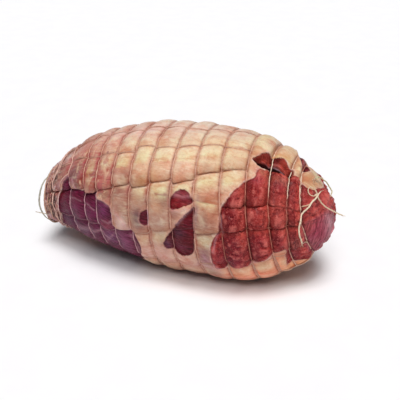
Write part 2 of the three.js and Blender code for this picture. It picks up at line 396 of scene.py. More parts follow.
FAT_WASHES = table(
    Wash,
    # The shank side, where the fat is thin.
    (-60, 100, 34, 34, "e4b8a6"), (-100, 130, 24, 90, "985a54"), (-90, 128, 9, 8, "c46c64", 0.7),
    (-78, 144, 18, 10, "9c5448", 0.75), (-58, 146, 9, 8, "b45c4c", 0.75),
    (-84, 112, 14, 14, "b8746c", 0.6), (-108, 140, 5, 16, "6c4640", 0.8),
    (-54, 134, 5, 6, "ecd2a8", 0.8), (-55, 148, 22, 15, "c07c6e"), (-76, 124, 14, 12, "cc8c78", 0.6),
    (-84, 147, 10, 12, "906064", 0.9), (-70, 150, 8, 12, "b88468", 0.9),
    (-67, 146, 2.5, 7, "a8662c", 0.8), (-78, 153, 2, 4, "8c4420", 0.9), (-58, 152, 3, 5, "c0504c", 0.7),
    (-47, 149, 3, 7, "b84850", 0.8), (-54, 156, 8, 3, "a8504c", 0.6),
    # The pale crown and the creamy cushions below it.
    (0, 84, 70, 20, "fff0e0", 1.0), (-20, 96, 14, 10, "f0c4b4", 0.6), (30, 92, 16, 8, "f0ccb8", 0.6),
    (12, 124, 62, 24, "f6d8b8"), (-32, 117, 12, 7, "faecc4"), (-16, 120, 7, 8, "f8e8c0"),
    (2, 110, 10, 8, "faecc4"), (24, 104, 14, 9, "f8e6c4"), (50, 112, 14, 10, "f2d4ac"),
    (47, 118, 12, 11, "ecdcac", 0.8),
    # The strap beside the red muscle, and the edges of the windows.
    (40, 138, 7, 5, "f8f0cc", 0.8), (52, 140, 5, 4, "e8dcb0", 0.7), (16, 147, 8, 2.5, "f4dcd4", 0.9),
    (9, 152, 2, 6, "d89488", 0.7), (24, 166, 5, 3, "f0d8c0", 0.8), (43, 150, 2.5, 2, "f4e4d0", 0.9),
    (46, 152, 1.2, 4, "a87058", 0.7), (36, 163, 2, 6, "a87050", 0.7), (31, 168, 1.5, 18, "96747c", 0.7),
    (20, 214, 34, 6, "a87c80", 0.6), (38, 200, 4, 6, "746078", 0.8),
    # The tan side below the crown.
    # The tan washes at -28, 152; -8, 155; 14, 147; 34, 132; 36, 132 and -46, 158 are painted shade along
    # the deep lengthwise groove.
    (-26, 137, 22, 7, "e0b894", 0.6), (-28, 152, 7, 5, "a87464", 0.7), (-10, 146, 9, 8, "d8a878", 0.7),
    (-8, 155, 9, 5, "a87050", 0.6), (12, 141, 8, 6, "d89474", 0.6), (14, 147, 7, 3, "b87450", 0.8),
    (34, 132, 7, 3, "b87458", 0.4), (-46, 158, 6, 2.5, "8c584c", 0.7), (38, 170, 6, 12, "a8745c", 0.7),
    (34, 126, 10, 8, "d89878", 0.3), (36, 132, 5, 3, "a86454", 0.5), (-26, 178, 26, 20, "b88c78"),
    (-30, 176, 8, 14, "ac7c68", 0.6), (2, 178, 14, 18, "b49080"), (-2, 166, 8, 5, "e0bc94", 0.5),
    (-4, 208, 34, 14, "dcaca0"), (12, 150, 9, 3, "ecd4b4", 0.7), (12, 169, 5, 3, "a87c78", 0.7),
    (-19, 177, 5, 7, "6c4850", 0.95), (34, 146, 14, 8, "d8a484"), (42, 158, 8, 11, "c07450", 0.9),
    (30, 166, 2.5, 7, "94787c", 0.8), (35, 174, 5, 9, "a07c6c", 0.8), (44, 176, 5, 8, "b87c64", 0.7),
    (38, 193, 8, 10, "987068"), (38, 202, 4, 7, "7c6078", 0.8), (44, 210, 6, 9, "b48490", 0.8),
    (32, 214, 7, 7, "b88484", 0.6),
    # The fat below the red muscle.
    # The washes at 91, 205 and 104, 226 are orange fat painted at full brightness, as painted light against
    # the shade of the underside.
    (70, 220, 28, 14, "fc9674", 0.97), (60, 212, 6, 5, "dca084", 0.6), (78, 210, 6, 5, "dca080", 0.6),
    (91, 205, 6, 12, "ffb08c", 0.95), (104, 226, 11, 12, "ffb074", 1.0),
    (109, 236, 4, 6, "e49c48", 0.7),
    # The lobes round the cleft.
    (52, 106, 8, 8, "f0e0c0", 0.8), (34, 118, 12, 5, "f8e0c4", 0.6), (49, 119, 6, 6, "fcf4cc", 0.6),
    (66, 86, 10, 17, "f6e8bc"), (71, 89, 4, 5, "dca898", 0.7), (64, 103, 5, 6, "d89c70", 0.8),
    (84, 84, 9, 14, "f2deb4"), (79, 96, 3, 3, "e8c070", 0.8), (86, 95, 5, 4, "ecca78", 0.7),
    (94, 92, 4, 7, "e4bc90", 0.8), (95, 104, 4, 6, "fcf0c4", 0.98), (106, 98, 8, 16, "dca878"),
    (111, 110, 4, 6, "ecc894", 0.8), (103, 108, 4, 6, "c88a60", 0.8), (112, 88, 4, 9, "d8a47c", 0.8),
    (71, 123, 5, 2.5, "dc9c8c", 0.9), (60, 132, 6, 8, "dc9a80", 0.7),
    # Browned and bruised cushions of the shank side.
    (-50, 143, 5, 7, "b4685c"), (-58, 147, 4, 4, "a85450", 0.7), (-60, 138, 5, 6, "b86458", 0.5),
    # The dark washes at -40, 160; -60, 158 and -80, 155 are painted shade along the deep lengthwise groove.
    (-33, 146, 5, 5, "9c6450", 0.9), (-18, 148, 6, 4, "a87448", 0.8), (-40, 160, 18, 3.5, "8c6050"),
    (-60, 158, 10, 3, "784038"), (-79, 138, 7, 6, "84504c"), (-88, 149, 4, 6, "502430", 0.9),
    (-80, 155, 5, 3, "60282c", 0.9), (-77, 151, 2.5, 3, "6c2418", 0.9), (-66, 148, 3, 5, "9c5028"),
    (-100, 122, 4, 6, "dcaca4", 0.7), (-72, 138, 22, 14, "ac5858", 0.3),
    (-88, 112, 12, 7, "dca094", 0.6), (-52, 112, 16, 8, "ecb4a0", 0.5),
    # Creamy cushions of the crown.
    (-16, 111, 16, 6, "f2dcc0", 0.6), (-30, 102, 44, 9, "fcdcd4", 0.75),
    (8, 118, 30, 5, "fcecc8", 0.45), (26, 126, 9, 5, "faf0c8", 0.7), (44, 128, 8, 5, "f4e0b8", 0.6),
    # Painted shade: dark edges of the windows, and the side that turns under.
    (4, 160, 5, 8, "8c6054"), (3, 192, 3, 8, "846064", 0.7), (44, 186, 7, 15, "90605a", 0.7),
    (4, 236, 54, 9, "8c5c58"), (-50, 256, 70, 18, "543438"), (40, 248, 60, 10, "805448", 0.8),
    (-34, 184, 4, 5, "f8f0e8", 0.8),
    # Single cushions of the side and the crown.
    (-40, 161, 10, 5, "a06456", 0.55), (-30, 157, 8, 5, "a06656", 0.55),
    (-20, 161, 6, 4, "b8846c", 0.6), (-12, 163, 5, 5, "986458", 0.6), (-36, 170, 7, 4, "9c6c5c", 0.5),
    (-47, 144, 9, 5, "b86a60", 0.55), (-84, 146, 5, 6, "6c3c48", 0.75), (-67, 148, 5, 5, "a05a4c", 0.5),
    (-71, 145, 2.5, 6, "c4905c", 0.6), (-58, 149, 5, 4, "b04c50", 0.55),
    (-62, 128, 6, 3, "b4686c", 0.5), (-78, 130, 5, 4, "a45c60", 0.5), (-100, 116, 6, 5, "e0ccc4", 0.8),
    (-41, 130, 5, 5, "f0c8ac", 0.5), (-13, 103, 6, 4, "e0c8a0", 0.6), (8, 134, 5, 4, "d0967c", 0.5),
    (37, 122, 6, 4, "d0a878", 0.5), (40, 112, 14, 8, "f2daac", 0.6), (46, 126, 10, 8, "ecd4a8", 0.5),
    (24, 108, 12, 6, "f8e4bc", 0.5), (63, 92, 6, 6, "ece0b8", 0.6), (40, 158, 4, 6, "c07854", 0.6),
    (38, 206, 6, 8, "80546c", 0.75), (42, 219, 7, 8, "7c4454", 0.8), (-48, 164, 8, 6, "9c7460", 0.7),
    (-17, 177, 5, 8, "5c3c48", 0.75),
    # The tip of the shank, and the back.
    (-122, 180, 9, 200, "9c6c60"), (20, 300, 60, 40, "e4baa0"), (-30, 380, 50, 36, "e8c4aa"),
    (30, 400, 34, 20, "ecd0a8"), (-60, 300, 26, 22, "c08474"),
)

END_WASHES = table(
    Wash,
    (-118, 104, 6, 7, "e4ccc8"), (-123, 122, 4, 6, "c8a098", 0.6), (-120, 170, 3, 16, "4c3028", 0.5),
    (-123, 214, 3, 14, "e4c0bc", 0.9), (-124, 186, 3, 8, "d0a8a0", 0.6),
    (-110, 203, 6, 9, "543038", 0.8), (-106, 214, 5, 8, "4c2834", 0.8), (-107, 161, 2.5, 9, "b45850"),
    (-106, 145, 3, 5, "b88070", 0.6),
)

RED_PATCH: Route = (
    (70, 126), (69, 132), (65, 135), (61, 140), (57, 146), (52, 152), (49.5, 158), (49, 168),
    (49, 177), (45, 184), (43, 193), (43.5, 207), (47, 212), (58, 208), (71, 205), (81, 200), (89, 194),
    (95, 191), (98, 192), (98, 205), (98, 218), (103, 219), (109, 224), (113, 234), (113, 250),
    (112, 272), (105, 290), (108, 308), (102, 326), (106, 344), (99, 364), (105, 384), (102, 402),
    (108, 418), (112, 430), (150, 430), (150, 55), (117, 55),
    (116, 80), (114, 100), (111, 112), (106, 117), (101, 113), (96, 111), (92, 113),
    (85, 115.5), (80, 117), (75, 120), (72, 121.5),
)
CUT_FACE: Route = (
    (109, 170), (113, 163), (118, 157), (122.5, 146), (126, 140), (128.8, 140), (128.8, 214),
    (126, 216), (122, 213), (116.6, 219), (114, 204), (111.5, 186),
)
LOBE_GAP: Route = ((88, 68), (96, 66), (102, 78), (103, 86), (101, 91), (97, 89), (93, 80))
UPPER_WINDOW: Route = (
    (9, 166), (8, 159), (11, 154), (15, 151), (20, 150.5), (23, 152.5), (27.5, 157.5),
    (25.5, 160), (20, 163), (14, 165.5),
)
LOWER_WINDOW: Route = (
    (29, 162), (25, 165), (21, 169), (15, 176), (11, 181), (8, 186), (4, 192), (3, 197),
    (6, 200), (12, 199), (15, 202), (20, 203), (26, 200), (29, 195), (29.5, 180), (29.5, 170),
)
SMALL_HOLE: Route = ((-16, 173), (-12.5, 170), (-9.5, 172), (-9.5, 180), (-12, 182), (-16.5, 180))
SHANK_MUSCLE: Route = (
    (-103, 165), (-99, 157), (-94, 146), (-90, 150), (-85, 159), (-76, 162), (-63, 161),
    (-60, 167), (-52, 169), (-46, 173), (-44, 182), (-44, 188), (-40, 191), (-28, 190),
    (-24, 192), (-19, 201), (-20, 214), (-25, 232), (-42, 250), (-92, 252), (-108, 238),
    (-103, 205), (-104.5, 183),
)
BACK_MUSCLE: Route = (
    (-72, 302), (-48, 291), (-30, 296), (-6, 290), (20, 298), (44, 296), (66, 304), (92, 318),
    (84, 342), (62, 338), (44, 347), (20, 345), (4, 353), (-18, 345), (-40, 350), (-62, 338),
    (-80, 328),
)
BACK_WINDOW: Route = (
    (-66, 384), (-50, 378), (-30, 380), (-10, 388), (-14, 396), (-24, 402), (-40, 398), (-58, 404),
)
BACK_SPOT: Route = ((58, 362), (70, 358), (86, 366), (82, 378), (66, 380))

LEAN_PATCHES = (
    LeanPatch(RED_PATCH, "a42c28", depth=0.7, grain=1.0),
    LeanPatch(LOBE_GAP, "7c2430", depth=1.0, grain=0.8),
    LeanPatch(UPPER_WINDOW, "84181e", depth=1.3, grain=0.2),
    LeanPatch(LOWER_WINDOW, "600410", depth=1.6, grain=0.15),
    LeanPatch(SHANK_MUSCLE, "6c1038", depth=0.8, grain=0.0, fibre=0.42),
    LeanPatch(SMALL_HOLE, "681c2c", depth=0.6, grain=0.0, edge=-0.1),
    LeanPatch(CUT_FACE, "a44658", depth=0.3, grain=0.0, fibre=-1.4),
    LeanPatch(CLEFT, "c44c3c", depth=0.0, grain=0.35),
    LeanPatch(BACK_MUSCLE, "7c2c3c", depth=0.8, grain=0.2),
    LeanPatch(BACK_WINDOW, "7c3048", depth=0.9, grain=0.1),
    LeanPatch(BACK_SPOT, "8c2c34", depth=1.2, grain=0.5),
)

LEAN_WASHES = table(
    Wash,
    # The coarse red muscle and the cut end.
    (57, 166, 9, 13, "6c0c18"), (57, 150, 7, 6, "8c242c", 0.8), (60, 158, 5, 4, "a03c3c", 0.7),
    (54, 190, 5, 14, "841c28"), (47, 198, 4, 8, "a4383c", 0.9), (71, 130, 6, 7, "bc4450", 0.9),
    (62, 146, 7, 9, "a83c3c"), (80, 134, 8, 9, "a83c38", 0.8), (90, 128, 5, 8, "98303c", 0.8),
    (72, 158, 8, 8, "9c3434"), (84, 158, 6, 10, "bc4c44"), (84, 178, 7, 9, "983038", 0.8),
    (96, 150, 7, 16, "a43c3c"), (96, 178, 6, 16, "9c343c"), (62, 184, 8, 12, "80202c", 0.9),
    (72, 192, 8, 12, "78202c", 0.9), (58, 202, 7, 7, "843048", 0.8), (112, 140, 9, 16, "c44c48"),
    (118, 120, 9, 40, "c05450"), (103, 206, 5, 12, "8c3044", 0.8), (126, 178, 3.5, 50, "c88c94", 0.8),
    (112, 176, 3, 10, "a83c44", 0.7), (118, 234, 8, 14, "a0445c", 0.7),
    # The bare patches of the back.
    (-50, 320, 16, 10, "7c3a50"), (-20, 336, 18, 8, "8c4654", 0.7), (6, 318, 16, 9, "641c30"),
    (34, 330, 16, 10, "8c3c44", 0.8), (66, 322, 14, 12, "a04448", 0.8),
    (-44, 392, 12, 6, "8c4858", 0.8), (-22, 386, 8, 6, "5c2038", 0.8),
    # The muscle under the membrane of the shank side.
    (-100, 170, 12, 22, "6c2438"), (-104, 166, 6, 8, "841c2c", 0.8), (-97, 156, 6, 6, "641c34", 0.8),
    # The mauve washes at -81, 183; -65, 184 and -52, 178 are painted sheen on the membrane.
    (-80, 170, 10, 7, "6c1c34", 0.8), (-66, 166, 6, 7, "5c1c30", 0.8), (-81, 183, 8, 8, "7c2c50"),
    (-65, 184, 7, 8, "782850"), (-52, 178, 6, 8, "803060", 0.8), (-46, 184, 3, 6, "54182c", 0.8),
    (-92, 200, 14, 12, "581a40"), (-76, 208, 10, 6, "745068", 0.7), (-49, 193, 6, 6, "982c38", 0.95),
    (-48, 205, 5, 8, "784068", 0.8), (-34, 203, 8, 10, "8c3c60", 0.9), (-24, 212, 4, 9, "781c34", 0.8),
    # The windows.
    (20, 156, 4, 3, "943c48", 0.8), (12, 153, 4, 3, "b87078", 0.8), (25, 152, 4, 1.5, "b8787c", 0.6),
    (6, 196, 4, 6, "6c3c54", 0.8), (16, 184, 6, 5, "5c3040", 0.9), (24, 174, 4, 6, "700c20", 0.9),
    (18, 196, 8, 4, "70243c", 0.7),
    # Broad painted shade of the cleft and the underside, and paler mauve over the membrane.
    (96, 104, 3, 5, "5c1018", 0.5), (-40, 192, 8, 5, "94586c", 0.5), (-50, 202, 16, 12, "845074", 0.35),
    (-66, 248, 54, 10, "280c1c", 0.95), (-36, 238, 20, 7, "481028", 0.6),
    (-36, 212, 10, 12, "844c6c", 0.35), (-78, 224, 12, 8, "845070", 0.4),
    # Single lumps of the red muscle.
    (112, 168, 5, 14, "b85850", 0.5), (88, 150, 6, 8, "bc5448", 0.5), (54, 174, 7, 14, "700c14", 0.45),
    (54, 160, 5, 12, "701018", 0.5), (62, 138, 5, 5, "c46054", 0.6), (66, 150, 4, 7, "ac5048", 0.75),
    (75, 124, 5, 3.5, "d08468", 0.75), (83, 124, 5, 4, "bc6450", 0.6), (91, 124, 4, 4, "c88878", 0.65),
    (94, 146, 4, 8, "bc5448", 0.6), (97, 165, 4, 9, "c06054", 0.75), (101, 188, 5, 9, "b45c58", 0.7),
    (107, 192, 4, 10, "b46c60", 0.5), (115, 203, 4, 8, "b87074", 0.6),
    (60, 200, 16, 14, "74101c", 0.35),
)

FILMS = table(
    Film,
    (((-93, 145), (-98, 149), (-104, 154)), 1.3, 0.8), (((-86, 150), (-83, 157), (-78, 161)), 1.0, 0.9),
    (((-89, 170), (-82, 171), (-76, 173)), 0.7, 0.5), (((-72, 174), (-67, 176), (-62, 180)), 0.7, 0.75),
    (((-62, 164), (-58, 168), (-52, 169), (-46, 173)), 1.2, 0.55),
    (((-44, 186), (-48, 189), (-54, 187)), 0.8, 0.8), (((-82, 207), (-75, 205), (-69, 205)), 2.6, 0.5),
    (((-66, 205), (-58, 201), (-50, 207)), 1.6, 0.7), (((-56, 216), (-50, 207), (-43, 198)), 0.7, 0.8),
    (((-38, 178), (-34, 182), (-31, 186)), 1.4, 0.8), (((-41, 176), (-37, 187), (-28, 188)), 2.4, 0.45),
    (((-28, 196), (-22, 206), (-19, 222)), 1.2, 0.6), (((11, 156), (18, 156), (24, 154)), 0.8, 0.5),
    (((18, 156), (22, 155), (25, 155)), 1.0, 0.5), (((27, 163), (21.5, 169), (15.5, 176)), 0.9, 0.8),
    (((10, 167), (17, 166.5), (24, 163)), 0.9, 0.6),
    (((-123, 116), (-120, 106), (-116, 102)), 1.8, 0.9),
    (((-124, 204), (-118, 217), (-110, 221)), 2.2, 0.9),
    (((-122, 150), (-120, 166), (-121, 180)), 0.7, 0.7), (((36, 200), (43, 208), (49, 212)), 1.2, 0.8),
    (((104, 300), (112, 290), (119, 262), (122, 225)), 1.0, 0.7),
    (((107, 330), (114, 345), (120, 350), (124, 330)), 0.8, 0.7),
    (((112, 20), (117, 40), (122, 60), (125, 75)), 1.0, 0.7),
    (((119, 262), (123, 300), (123, 335)), 0.6, 0.7),
    (((-70, 312), (-40, 304), (-20, 312), (4, 306), (30, 312)), 1.6, 0.6),
    (((-56, 328), (-30, 332), (0, 328), (26, 334)), 3.0, 0.4),
    (((36, 308), (60, 314), (84, 322)), 1.8, 0.6), (((-60, 384), (-40, 390), (-16, 396)), 0.9, 0.7),
    (((50, 164), (51, 172), (52, 177)), 0.8, 0.9), (((32, 209), (40, 212), (48, 216)), 3.2, 0.6),
    (((49, 178), (47, 184), (45, 194)), 0.8, 0.7), (((73, 204), (80, 201), (87, 196)), 1.3, 0.9),
    (((72, 109), (79, 107), (85, 107.5), (90, 110)), 0.5, 0.9),
    (((124, 150), (126, 190), (124, 230)), 2.2, 0.6), (((-60, 306), (-10, 300), (40, 310)), 2.4, 0.5),
    (((-20, 344), (20, 340), (60, 336)), 2.0, 0.5),
    (((-50, 316), (-20, 322), (4, 318), (30, 326)), 1.0, 0.5),
)

FAT_LOBES = table(
    Hill,
    (43, 150, 3, 2.2, 1.4), (38, 153, 6, 1.8, 1.0), (36, 158, 7, 1.6, -0.8), (41, 165, 2.2, 8, 1.0),
    (36, 166, 1.8, 8, -0.9), (47, 166, 1.6, 7, -0.7), (67, 86, 9, 17, 2.6), (86, 81, 9, 17, 3.0),
    (96, 102, 4, 7, 2.4), (106, 230, 8, 9, 3.8), (77, 88, 2.2, 17, -3.0), (100, 96, 2.4, 12, -1.6),
    (100, 214, 2.2, 16, -1.6), (112, 188, 8, 30, -1.2), (119, 215, 9, 40, 3.2),
)


@dataclass
class Places:
    """What is known of some places on the skin, with one entry or row for each place.

    Its station and angle, section position, point on the smooth skin, outward normal,
    direction round the joint, unrolled place, depth inside each muscle patch and inside
    any of them, and the strength of silverskin. The rest is filled in later: distances to
    the net and the number of the nearest row, the cushion's own chance number, how far
    below a strand the place lies, the folds of the fat and how deep in the cleft it is.
    """

    station: Array
    degrees: Array
    position: Array
    point: Array
    normal: Array
    around: Array
    flat: Array
    patches: Array
    lean: Array
    film: Array
    hoop_side: Array = field(init=False)
    hoop_gap: Array = field(init=False)
    row_side: Array = field(init=False)
    row: Array = field(init=False)
    cell: Array = field(init=False)
    under: Array = field(init=False)
    fold: Array = field(init=False)
    across: Array = field(init=False)

    def seam(self) -> Array:
        """Distance from each place to the nearest strand of the net."""
        return np.minimum(self.hoop_gap, np.abs(self.row_side))


@dataclass
class Skin:
    """The joint's finished outer surface: cushions, folds, tissues and their colours, with painted light
    and shade.
    """

    shape: JointShape
    cushion: float = 1.9
    fat_base: str = "dab094"
    cleft_depth: float = 10.0
    row_depths: tuple = (0.35, 0.55, 1.9, 0.7, 0.8, 0.8, 0.8, 0.8, 0.9, 0.8, 0.6)
    cut_depth: float = 1.3
    cut_route: tuple = ((47, 64, 85), (157, 154, 147))
    cut_stray: tuple = ((46, 53, 82, 90), (9, 0, 0, 9))
    dark_row: int = 2
    strap_row: int = 3
    mean_radius: float = 60
    far: float = 40
    broad_swell: float = 0.8
    ripple: float = 0.3
    lump_height: float = 2.4
    fold_height: float = 0.34
    ring_height: float = 3.4
    pucker_height: float = 5.0
    end_roughness: float = 1.3
    lip_height: float = 0.5
    lobe_sag: float = 4.0
    lower_lip_dip: float = 1.4
    floor_softness: float = 0.7
    # Painted shade for the hollows and painted light for the ridges of the gathered folds.
    fold_shade_tones: tuple = ("3c1c22", "b47c78")

    def flat_place(self, station: Array, degrees: Array) -> Array:
        """Unrolls places on the skin into millimetres along and around."""
        return np.column_stack([station, (degrees - 180) * np.pi / 180 * self.mean_radius])

    def solid_place(self, route: Route) -> Array:
        """Points in space of a route of stations and angles."""
        station, degrees = np.array(route, float).T
        return self.shape.bare(self.shape.position_of(station), degrees)

    def seams(self, found: Places) -> None:
        """Adds the distances to the net and what marks each cushion.

        Args:
            found: the places, which get these values.
        """
        shape, station, degrees = self.shape, found.station, found.degrees
        slope = 1 / np.maximum(np.sqrt(1 - found.normal[:, 0] ** 2), 0.25)
        lines = np.array([shape.hoop_station(i, degrees) for i in range(len(shape.hoops))])
        offsets = station - lines
        closest = np.abs(offsets).argmin(axis=0)
        found.hoop_side = np.take_along_axis(offsets, closest[None], axis=0)[0] * slope
        found.hoop_gap = np.abs(found.hoop_side)
        angles = shape.row_angles(station, degrees)
        turn = (degrees - angles + 180) % 360 - 180
        ends = np.array([lines[last] for _, _, last in shape.rows])
        turn = np.where(station > ends + 1, 360, turn)
        cut = degrees - np.interp(station, *self.cut_route)
        turn = np.vstack([turn, cut + np.copysign(np.interp(station, *self.cut_stray), cut)])
        found.row = np.abs(turn).argmin(axis=0)
        signed = np.take_along_axis(turn, found.row[None], axis=0)[0]
        per_degree = np.pi / 180 * shape.radius_at(found.position)
        found.row_side = np.clip(signed * per_degree, -self.far, self.far)
        found.under = -found.row_side * found.around[:, 2]
        column = (station >= lines).sum(axis=0)
        band = ((degrees - angles) % 360).argmin(axis=0)
        wave = np.sin(column * 12.9898 + band * 78.233) * 43758.5453
        found.cell = 2 * (wave - np.floor(wave)) - 1

    def painted_crease_shade(self, found: Places) -> Array:
        """How much painted shade darkens the creases beside the strands.

        Args:
            found: the places.

        Returns:
            A share for each place, from 0 to 1.
        """
        station = found.station
        meaty = smooth(-1, 1, found.lean)
        red = meaty * smooth(*RED_START, station)
        darkness = np.where(found.row == self.dark_row, 1 - 0.5 * smooth(-66, -50, station), 0.16)
        strap = between(STRAP, station) * (found.row == self.strap_row)
        darkness = np.maximum(np.maximum(darkness, 0.75 * red), 0.95 * strap)
        near_row = darkness * bell(found.row_side, 0, 0.9) * (1 - smooth(*CUT_END, station))
        left_line = 0.62 * bell(found.hoop_side, -0.65, 0.5)
        right_line = (0.15 + 0.5 * red) * bell(found.hoop_side, 0.8, 0.8)
        uneven = np.clip(0.75 + 0.6 * noise(found.point, 11, 18, 2), 0.1, 1.0)
        return uneven * np.maximum(near_row, left_line * (1 - meaty) + right_line * meaty)

    def survey(self, station: Array, degrees: Array) -> Places:
        """Works out everything that the skin needs at some places.

        Args:
            station: stations of the places.
            degrees: their angles.

        Returns:
            What is known of each place.
        """
        shape = self.shape
        position = shape.position_of(station)
        degrees = (degrees - shape.first_angle) % 360 + shape.first_angle
        point = shape.bare(position, degrees)
        normal, around = shape.ways(position, degrees)
        stray = np.column_stack([noise(point, 7, 3, 3), noise(point, 7, 4, 3)])
        hidden = smooth(244, 270, degrees)
        wavering = self.flat_place(station, degrees) + stray * (1.1 + 2.4 * hidden)[:, None]
        moved = point + np.column_stack([stray, stray[:, :1]]) * 1.2
        depths = []
        for patch in LEAN_PATCHES:
            outline = self.flat_place(*rounded(patch.outline).T)
            depths.append(inside_distance(wavering, outline) + patch.edge)
        depths = np.array(depths)
        found = Places(
            station=station,
            degrees=degrees,
            position=position,
            point=point,
            normal=normal,
            around=around,
            flat=self.flat_place(station, degrees),
            patches=depths,
            lean=np.clip(depths.max(axis=0), -20, 20),
            film=self.strips(moved, FILMS),
        )
        self.seams(found)
        return found

    def strips(self, points: Array, films: tuple) -> Array:
        """Strength of the nearest strips at points in space.

        Args:
            points: the points, one a row.
            films: the strips.

        Returns:
            One strength for each point, from 0 to 1.
        """
        strength = np.zeros(len(points))
        for strip in films:
            route = self.solid_place(strip.route)
            away = to_segments(points, route[:-1], route[1:])
            strength = np.maximum(strength, strip.strength * bell(away, 0, strip.half_width))
        return strength

    def share(self, found: Places, name: str) -> Array:
        """A property of the muscle patches, spread over the places inside each.

        Args:
            found: the places.
            name: name of the property.

        Returns:
            One amount for each place.
        """
        amount = np.zeros(len(found.station))
        for patch, away in zip(LEAN_PATCHES, found.patches):
            inside = smooth(-0.3, 1.3, away)
            amount += inside * (getattr(patch, name) - amount)
        return amount

    def along_fibres(self, found: Places) -> Array:
        """Centimetres along and across the fibres of the muscle at each place.

        Args:
            found: the places.

        Returns:
            Coordinates for the muscle's grain, one place a row.
        """
        turn = np.full(len(found.station), LEAN_PATCHES[0].fibre)
        for patch, away in zip(LEAN_PATCHES, found.patches):
            turn = np.where(away > -2, patch.fibre, turn)
        x, y = found.flat.T / 10
        along = x * np.cos(turn) + y * np.sin(turn)
        across = y * np.cos(turn) - x * np.sin(turn)
        end = smooth(*CUT_END, found.station)
        point = found.point / 10
        along = along * (1 - end) + end * (point @ np.array([0.4, 0, 0.9]))
        across = across * (1 - end) + end * (point @ np.array([0.6, 0.6, -0.35]))
        return np.column_stack([along, across, np.zeros(len(x))])

    def off_middle(self, found: Places, hill: Hill | Wash) -> Array:
        """Squared distance from a hill's middle: 0 there and 1 at its edge."""
        turn = (found.degrees - hill.degrees + 180) % 360 - 180
        return ((found.station - hill.station) / hill.half_length) ** 2 + (turn / hill.half_angle) ** 2

    def cushions(self, found: Places) -> tuple[Array, Array]:
        """The swelling between the strands.

        Args:
            found: what survey returned.

        Returns:
            The rise of each place, and how far it sags round the joint.
        """
        station, grain = found.station, self.share(found, "grain")
        ends = smooth(-126, -112, station) * (1 - 0.85 * smooth(104, 120, station))
        groove = np.sqrt(found.hoop_gap ** 2 + 0.3) - 0.55
        furrow = np.sqrt(found.row_side ** 2 + 0.3) - 0.55
        below = found.under
        depth = np.array([*self.row_depths, self.cut_depth])[found.row] * (1 + 0.9 * grain)
        hoop_rise = 1 - np.exp(-groove / 2.5)
        row_fall = np.exp(-furrow / (3.0 + 1.2 * np.tanh(below)))
        swell = hoop_rise * (1 + 0.25 * found.cell + 0.9 * grain) - depth * row_fall
        pinch = np.exp(-groove / 2.6) + 0.6 * np.exp(-furrow / 2.6)
        ripple = noise(found.flat[:, [0, 1, 1]] * np.array([0.3, 1, 0]) + 0.5, 3.6, 12)
        rise = ends * (self.cushion * swell + 0.6 * pinch * ripple)
        near = np.abs(found.row_side)
        sag = 1.5 * depth * (near / 2) * np.exp(1 - near / 2) * (below < 0) * -found.around[:, 2] * ends
        return rise, sag * np.minimum(1, hoop_rise * 1.6)

    def raised(self, found: Places, bridge: bool = False) -> Array:
        """Places the surveyed points on the finished surface.

        Args:
            found: what survey returned.
            bridge: whether the cleft is spanned, as a strand of the net does.

        Returns:
            The points, in millimetres.
        """
        point, normal, station = found.point, found.normal, found.station
        inside = smooth(-0.6, 1.4, found.lean)
        grain = self.share(found, "grain") * inside
        lift, sag = self.cushions(found)
        calm = 0.0 if bridge else 1.0
        lift = lift - 1.0 + self.broad_swell * noise(point, 26, 5, 2)
        lift += calm * self.ripple * noise(point, 6, 6, 2)
        clear = 0.2 + 0.8 * smooth(0.5, 3.0, found.seam())
        lumps = self.lump_height * (self.lumps(point) - 0.35) + 0.6 * noise(point, 8.0, 8)
        lift += calm * grain * clear * lumps
        stretched = found.flat[:, [0, 1, 1]] * np.array([0.28, 1, 0])
        found.fold = noise(stretched + 0.16 * found.flat[:, [1, 0, 1]], 2.6, 13, 3)
        lift += calm * self.fold_height * found.fold * (1 - grain)
        gathered = between(GATHERED, station)
        lift += calm * (self.ring_height * self.ring(found) + 1.4 * noise(point, 4, 17, 2)) * gathered
        face = 1 - smooth(*SHANK_FACE, station)
        puckered = self.pucker_height * self.pucker(found) - 1.2 + 1.6 * noise(point, 12, 25, 2)
        lift += calm * face * puckered
        rough_end = self.end_roughness * noise(point * np.array([0.6, 1, 1]), 10, 15, 2)
        lift += calm * rough_end * smooth(102, 114, station)
        for lobe in FAT_LOBES:
            lift += lobe.height * np.exp(-(self.off_middle(found, lobe) ** 1.5))
        lift -= self.share(found, "depth") * inside
        lift += self.lip_height * bell(found.lean, -1, 0.9) * (1 - smooth(100, 106, station))
        upper = np.interp(station, *np.array(CLEFT_UPPER_LIP, float).T)
        lower = np.interp(station, *np.array(CLEFT_LOWER_LIP, float).T)
        across = np.clip((found.degrees - upper) / (lower - upper), 0, 1)
        if not bridge:
            gap = smooth(-0.5, 3.2, found.patches[CLEFT_PATCH])
            lift -= self.cleft_depth * gap * (0.35 + 0.65 * across)
        reach = between(CLEFT_REACH, station)
        sag = sag + self.lobe_sag * reach * bell(found.degrees - upper, -1, 6)
        lift -= calm * self.lower_lip_dip * reach * bell(found.degrees - lower, 3, 5)
        out = point + normal * lift[:, None] + found.around * (calm * sag)[:, None]
        out[:, 2] = np.logaddexp(0, out[:, 2] / self.floor_softness) * self.floor_softness
        found.across = across * smooth(-0.5, 1.5, found.patches[CLEFT_PATCH])
        return out

    def bruised(self, found: Places) -> Array:
        """Where the fat of the shank side is thin and streaked with red and mauve.

        Args:
            found: the places.

        Returns:
            A share for each place, from 0 to 1.
        """
        side = between(BRUISED_SIDE, found.degrees)
        return between(BRUISED, found.station) * (0.35 + 0.65 * side)

    def lipped(self, found: Places) -> Array:
        """How pale the lip of fat round bare muscle is: faint round the middle windows."""
        return 0.5 - 0.5 * between(WINDOWS, found.station)

